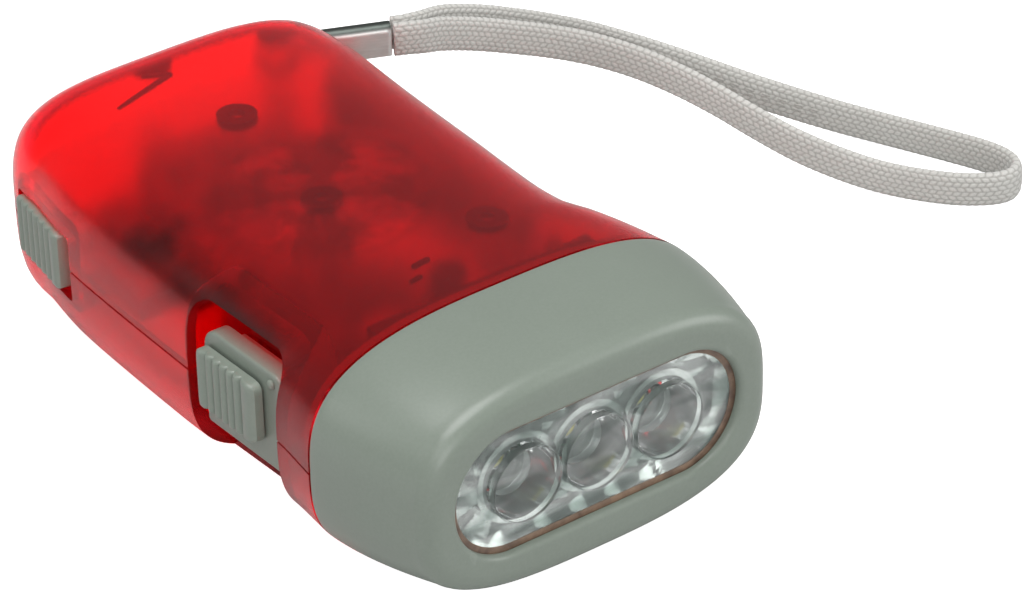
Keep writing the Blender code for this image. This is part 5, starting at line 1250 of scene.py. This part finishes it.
def smoothRoute(points, step, fineSteps=12):
    points = [Vector(point) for point in points]
    ends = [points[0] * 2 - points[1]] + points + [points[-1] * 2 - points[-2]]
    fine = []
    for a, b, c, d in zip(ends, ends[1:], ends[2:], ends[3:]):
        for i in range(fineSteps):
            t = i / fineSteps
            fine.append(0.5 * (b * 2 + (c - a) * t + (a * 2 - b * 5 + c * 4 - d) * t ** 2
                               + (b * 3 - a - c * 3 + d) * t ** 3))
    fine.append(points[-1])
    marks = [0.0]
    for a, b in zip(fine, fine[1:]):
        marks.append(marks[-1] + (b - a).length)
    count = round(marks[-1] / step)
    route, at = [], 0
    for i in range(count + 1):
        goal = marks[-1] * i / count
        while at < len(marks) - 2 and marks[at + 1] < goal:
            at += 1
        share = (goal - marks[at]) / (marks[at + 1] - marks[at])
        route.append(fine[at].lerp(fine[at + 1], min(1.0, share)))
    return route, marks[-1]


def bandFrames(route):
    frames, last = [], len(route) - 1
    for i, point in enumerate(route):
        way = route[min(i + 1, last)] - route[max(i - 1, 0)]
        if i in (0, last):
            way.z = 0.0
        way.normalize()
        side = way.cross(Vector((0.0, 0.0, 1.0))).normalized()
        frames.append((point, way, side, side.cross(way).normalized()))
    return frames


def braidHeight(along, across):  # rows of short raised dashes, each row half a dash on from the last
    v = strapValues
    row = across / v["rowPitch"]
    odd = math.floor(row) % 2
    lean = v["dashLean"] if odd else -v["dashLean"]
    dash = along / v["dashPitch"] + 0.5 * odd + lean * (row % 1.0 - 0.5)
    return abs(math.sin(math.pi * row)) ** v["rowPower"] * abs(math.sin(math.pi * dash)) ** v["dashPower"]


def makeWeave():  # the same dashes on the strap's own map, in millimetres
    v = strapValues
    tree, given, sent = newGroup("threadWeave", {"Row Pitch": v["rowPitch"], "Dash Pitch": v["dashPitch"]})
    parts = splitVector(tree, given["Vector"])
    row = mathNode(tree, "DIVIDE", parts[1], given["Row Pitch"])
    odd = mathNode(tree, "FLOORED_MODULO", mathNode(tree, "FLOOR", row), 2.0)
    within = mathNode(tree, "SUBTRACT", mathNode(tree, "FRACT", row), 0.5)
    lean = times(tree, within, mathNode(tree, "MULTIPLY_ADD", odd, 2.0 * v["dashLean"], -v["dashLean"]))
    along = mathNode(tree, "DIVIDE", parts[0], given["Dash Pitch"])
    dash = mathNode(tree, "ADD", mathNode(tree, "MULTIPLY_ADD", odd, 0.5, along), lean)
    heights = []
    for turn, power in ((row, v["rowPower"]), (dash, v["dashPower"])):
        wave = mathNode(tree, "ABSOLUTE", mathNode(tree, "SINE", times(tree, turn, math.pi)))
        heights.append(mathNode(tree, "POWER", wave, power))
    feed(tree, sent["Mask"], times(tree, *heights))
    return tree


weaveGroup = makeWeave()


def clothMaterial():
    material, tree, shader = newMaterial("wovenCloth")
    strapMap = addNode(tree, "ShaderNodeUVMap", uv_map="strapMap").outputs[0]
    weave, vector = useGroup(tree, weaveGroup, strapMap)["Mask"], objectVector(tree)
    grain = useGroup(tree, grainGroup, vector, Fine_Scale=5200.0, Cloud_Scale=50.0, Cloud_Amount=0.9)
    cloud = mapRange(tree, grain["Mask"], 0.0, 1.0, 0.2, 0.9)
    thread = mixColour(tree, cloud, (0.53, 0.52, 0.49), (0.68, 0.675, 0.645))
    # painted shade: the weave's grooves darker
    grooveShade = mapRange(tree, weave, 0.85, 0.0, 0.1, 0.8)
    height = mathNode(tree, "MULTIPLY_ADD", weave, 0.8, grain["Height"])
    feedAll(tree, shader, Base_Color=mixColour(tree, grooveShade, thread, (0.36, 0.35, 0.325)), Sheen_Weight=0.25,
            Sheen_Roughness=0.5, Roughness=mapRange(tree, grain["Mask"], 0.68, 0.85),
            Normal=bump(tree, height, 0.5, 0.00012))
    return material


wovenCloth = clothMaterial()


def placedTree():  # copies of one thread on points, turned by their own marks
    tree = bpy.data.node_groups.new("placedThreads", "GeometryNodeTree")
    kinds = {"Geometry": "Geometry", "Thread": "Object", "Finish": "Material", "Seed": "Int", "Jitter": "Float"}
    for label, kind in kinds.items():
        tree.interface.new_socket(name=label, in_out="INPUT", socket_type="NodeSocket" + kind)
    tree.interface.new_socket(name="Geometry", in_out="OUTPUT", socket_type="NodeSocketGeometry")
    given = addNode(tree, "NodeGroupInput").outputs

    def mark(label):
        node = addNode(tree, "GeometryNodeInputNamedAttribute", data_type="FLOAT_VECTOR")
        return feedAll(tree, node, Name=label)[0]

    def aligned(axis, pivot, **values):
        node = addNode(tree, "FunctionNodeAlignRotationToVector", axis=axis, pivot_axis=pivot)
        return feedAll(tree, node, **values)[0]

    thread = feedAll(tree, addNode(tree, "GeometryNodeObjectInfo"), Object=given["Thread"])["Geometry"]
    turn = aligned("Z", "X", Vector=mark("outwards"), Rotation=aligned("X", "AUTO", Vector=mark("along")))
    wobble = addNode(tree, "FunctionNodeRandomValue", data_type="FLOAT")
    least = mathNode(tree, "SUBTRACT", 1.0, given["Jitter"])
    for slot, value in (("Seed", given["Seed"]), (2, least), (3, 1.0)):
        feed(tree, wobble.inputs[slot], value)
    spread = addNode(tree, "GeometryNodeInstanceOnPoints")
    copies = feedAll(tree, spread, Points=given["Geometry"], Instance=thread, Rotation=turn,
                     Scale=wobble.outputs[1])[0]
    real = feedAll(tree, addNode(tree, "GeometryNodeRealizeInstances"), Geometry=copies)[0]
    dress = addNode(tree, "GeometryNodeSetMaterial")
    dressed = feedAll(tree, dress, Geometry=real, Material=given["Finish"])[0]
    feed(tree, addNode(tree, "NodeGroupOutput").inputs[0], dressed)
    return tree


placedThreads = placedTree()


def placed(name, spots, thread, material, jitter=0.1, seed=7):  # spots are (point, along, outwards)
    mesh = bpy.data.meshes.new(name)
    mesh.from_pydata([spot[0] for spot in spots], [], [])
    for label, which in (("along", 1), ("outwards", 2)):
        marks = mesh.attributes.new(label, "FLOAT_VECTOR", "POINT")
        marks.data.foreach_set("vector", [c for spot in spots for c in spot[which]])
    holder = linkObject(name, mesh)
    run = holder.modifiers.new("Placed", "NODES")
    run.node_group = placedThreads
    values = {"Thread": thread, "Finish": material, "Seed": seed, "Jitter": jitter}
    for item in placedThreads.interface.items_tree:
        if item.in_out == "INPUT" and item.name in values:
            run[item.identifier] = values[item.name]
    result = evaluatedMesh(holder)
    holder.modifiers.remove(run)
    holder.data = result
    bpy.data.objects.remove(thread, do_unlink=True)
    return holder


def makeTab():  # sheet folded over the top, open below, with its eye round the screw post
    v = crimpValues
    half, bottom, inside = v["halfThickness"], v["bottom"], v["halfThickness"] - v["sheet"]
    bend, fold = v["top"] - half, [math.radians(a) for a in range(0, 181, 15)]
    outer = [(-half * math.cos(a), bend + half * math.sin(a)) for a in fold]
    inner = [(inside * math.cos(a), bend + inside * math.sin(a)) for a in fold]
    section = [(-half, bottom), *outer, (half, bottom), (inside, bottom), *inner, (-inside, bottom)]
    rings = []
    for ahead in (-v["length"], -0.5 * v["length"], *v["endStations"], 0.0):
        grow = 1.0 - v["endShrink"] if ahead in (-v["length"], 0.0) else 1.0
        base = crimpEnd + crimpWay * ahead
        rings.append([base + crimpSide * a * grow + Vector((0.0, 0.0, z)) for a, z in section])
    tab = loft("tab", rings)
    post, radius = layout["screwPlaces"][2], v["eyeRadius"]
    join(tab, rod("eye", post, radius + v["eyeWall"], bottom, v["eyeTop"], 48))
    cut(tab, rod("eyeHole", post, radius, bottom - past, v["top"] + past, 48))
    return finished(smoothShaded(tab), "strapTab", satinTab, "case", "steel", "strap_crimp")


def makeStitches(frames, length):
    v, half = strapValues, 0.5 * strapValues["stitchLength"]
    thread = rotated(rod("thread", (0.0, 0.0), v["stitchRadius"], -half, half, 8), 0.5 * math.pi, "Y")
    spots = []
    for k in range(2, round(v["stitchShare"] * length / v["stitchPitch"])):
        point, way, side, tall = frames[round(k * v["stitchPitch"] / v["step"])]
        for up in v["stitchHeights"]:
            for face in (-1, 1):
                out = side * face * 0.5 * v["thickness"] * v["stitchSink"]
                spots.append((point + out + tall * up, way, side * face))
    stitches = placed("stitches", spots, thread, wovenCloth)
    return finished(stitches, "strapStitches", wovenCloth, "case", "woven_cord")


def makeStrap():
    v, count = strapValues, strapValues["around"]
    out, home = strapEnds()
    route, length = smoothRoute((*out, *strapRoute, *home), v["step"])
    frames = bandFrames(route)
    shape = []
    for i in range(count):
        angle = 2 * math.pi * (i + 0.5) / count
        c, s = math.cos(angle), math.sin(angle)
        shape.append((0.5 * v["thickness"] * math.copysign(abs(c) ** v["crossShare"], c),
                      0.5 * v["width"] * math.copysign(abs(s) ** v["crossShare"], s)))
    rings = []
    for k, (point, _, side, tall) in enumerate(frames):
        ring = []
        for across, up in shape:
            sink = v["braidDepth"] * (1.0 - braidHeight(k * v["step"], up))
            reach = math.hypot(across / v["thickness"], up / v["width"]) * 2.0
            pull = 1.0 - sink / max(0.5 * v["thickness"], reach)
            ring.append(point + side * across * pull + tall * up * (1.0 - v["edgeSink"] * sink))
        rings.append(ring)
    band = loft("strap", rings)
    layer = band.data.uv_layers.new(name="strapMap")
    for face in band.data.polygons:
        face.use_smooth = True
        for corner in face.loop_indices:
            index = band.data.loops[corner].vertex_index
            layer.data[corner].uv = (index // count * v["step"], shape[index % count][1])
    stitches = makeStitches(frames, length)
    strap = finished(band, "strapBand", wovenCloth, "case", "woven_cord", "wrist_strap")
    worldPoint(crimpMiddle)
    [worldPoint(p) for p in route[::4]]


strapTab = makeTab()
makeStrap()
print("strap made")


# Every solid of the frame that stays as it is gets its finish here
cadFinish = {
    "greyPlastic": ("lever",), "dimmedNylon": ("first_gear", "second_gear"), "ferrite": ("ring_magnet",),
    "steelMetal": ("lever_pin", "lever_spring", "first_axle", "second_axle", "rotor_axle", "flywheel",
                   "stator_core", "case_screw_1", "case_screw_2", "case_screw_3"),
    "brassMetal": ("flywheel_pinion", "contact_left", "contact_right"), "enamelledCopper": ("coil_winding",),
    "brightMetal": ("cell_1", "cell_2", "cell_3"), "boardGreen": ("led_board", "drive_board"),
    "blueSleeve": ("capacitor",), "tanLacquer": ("resistor",),
    "blackPlastic": ("coil_bobbin", "slide_switch_body", "wire_cell_minus", "wire_switch", "wire_lamp_minus",
                     "diode_1", "diode_2", "diode_3", "diode_4"),
    "redInsulation": ("wire_cell_plus", "wire_lamp_plus"),
    "yellowInsulation": ("wire_coil_start", "wire_coil_end"),
}


def dressNodes():
    for label, names in cadFinish.items():
        for name in names:
            materials = bpy.data.objects[name].data.materials
            materials.clear()
            materials.append(finish[label])


dressNodes()
print("solids dressed")


# Light table and lamps: name, place, aim, size, power
studioValues = {
    "world": 0.25, "floorColour": (0.62, 0.62, 0.62), "floorGlow": 0.02, "floorShine": 0.95, "floorHalf": 0.9,
    "lamps": (
        ("overLamp", (-0.10, -0.05, 0.75), (0.0, 0.0, 0.0), 0.60, 4.6),
        ("keyLamp", (-0.45, -0.35, 0.45), (0.0, 0.0, 0.01), 0.40, 0.6),
        ("sideLamp", (-0.55, 0.35, 0.40), (0.0, 0.0, 0.01), 0.40, 0.35),
        ("frontLamp", (-0.25, -0.62, 0.24), (0.0, -0.04, 0.012), 0.34, 0.9),
        ("rightLamp", (0.55, -0.42, 0.30), (0.0, -0.02, 0.01), 0.40, 1.5),
    ),
}


def makeStudio():
    v, white, scene = studioValues, (1.0, 1.0, 1.0), bpy.context.scene
    half = v["floorHalf"]
    corners = [(-half, -half, 0.0), (half, -half, 0.0), (half, half, 0.0), (-half, half, 0.0)]
    floor = meshFrom("studioFloor", corners, [(0, 1, 2, 3)])
    material, tree, shader = newMaterial("paleFloor")
    rays = addNode(tree, "ShaderNodeLightPath").outputs  # the table shows, and shines through clear plastic
    through = mathNode(tree, "MAXIMUM", rays["Is Camera Ray"], rays["Is Transmission Ray"])
    glow = mathNode(tree, "MULTIPLY_ADD", through, v["floorShine"], v["floorGlow"])
    feedAll(tree, shader, Base_Color=v["floorColour"], Roughness=0.8, Specular_IOR_Level=0.1,
            Emission_Color=white, Emission_Strength=glow)
    floor.data.materials.append(material)
    world = bpy.data.worlds.new("studioLight")
    world.use_nodes = True
    feedAll(world.node_tree, world.node_tree.nodes["Background"], Color=white, Strength=v["world"])
    scene.world = world
    for name, spot, aim, size, power in v["lamps"]:
        data = bpy.data.lights.new(name, "AREA")
        data.shape, data.size, data.energy = "DISK", size, power
        lamp = linkObject(name, data)
        way = Vector(aim) - Vector(spot)
        lamp.matrix_world = Matrix.Translation(spot) @ way.to_track_quat("-Z", "Y").to_matrix().to_4x4()
    scene.view_settings.view_transform = "Standard"


makeStudio()
print("studio made")
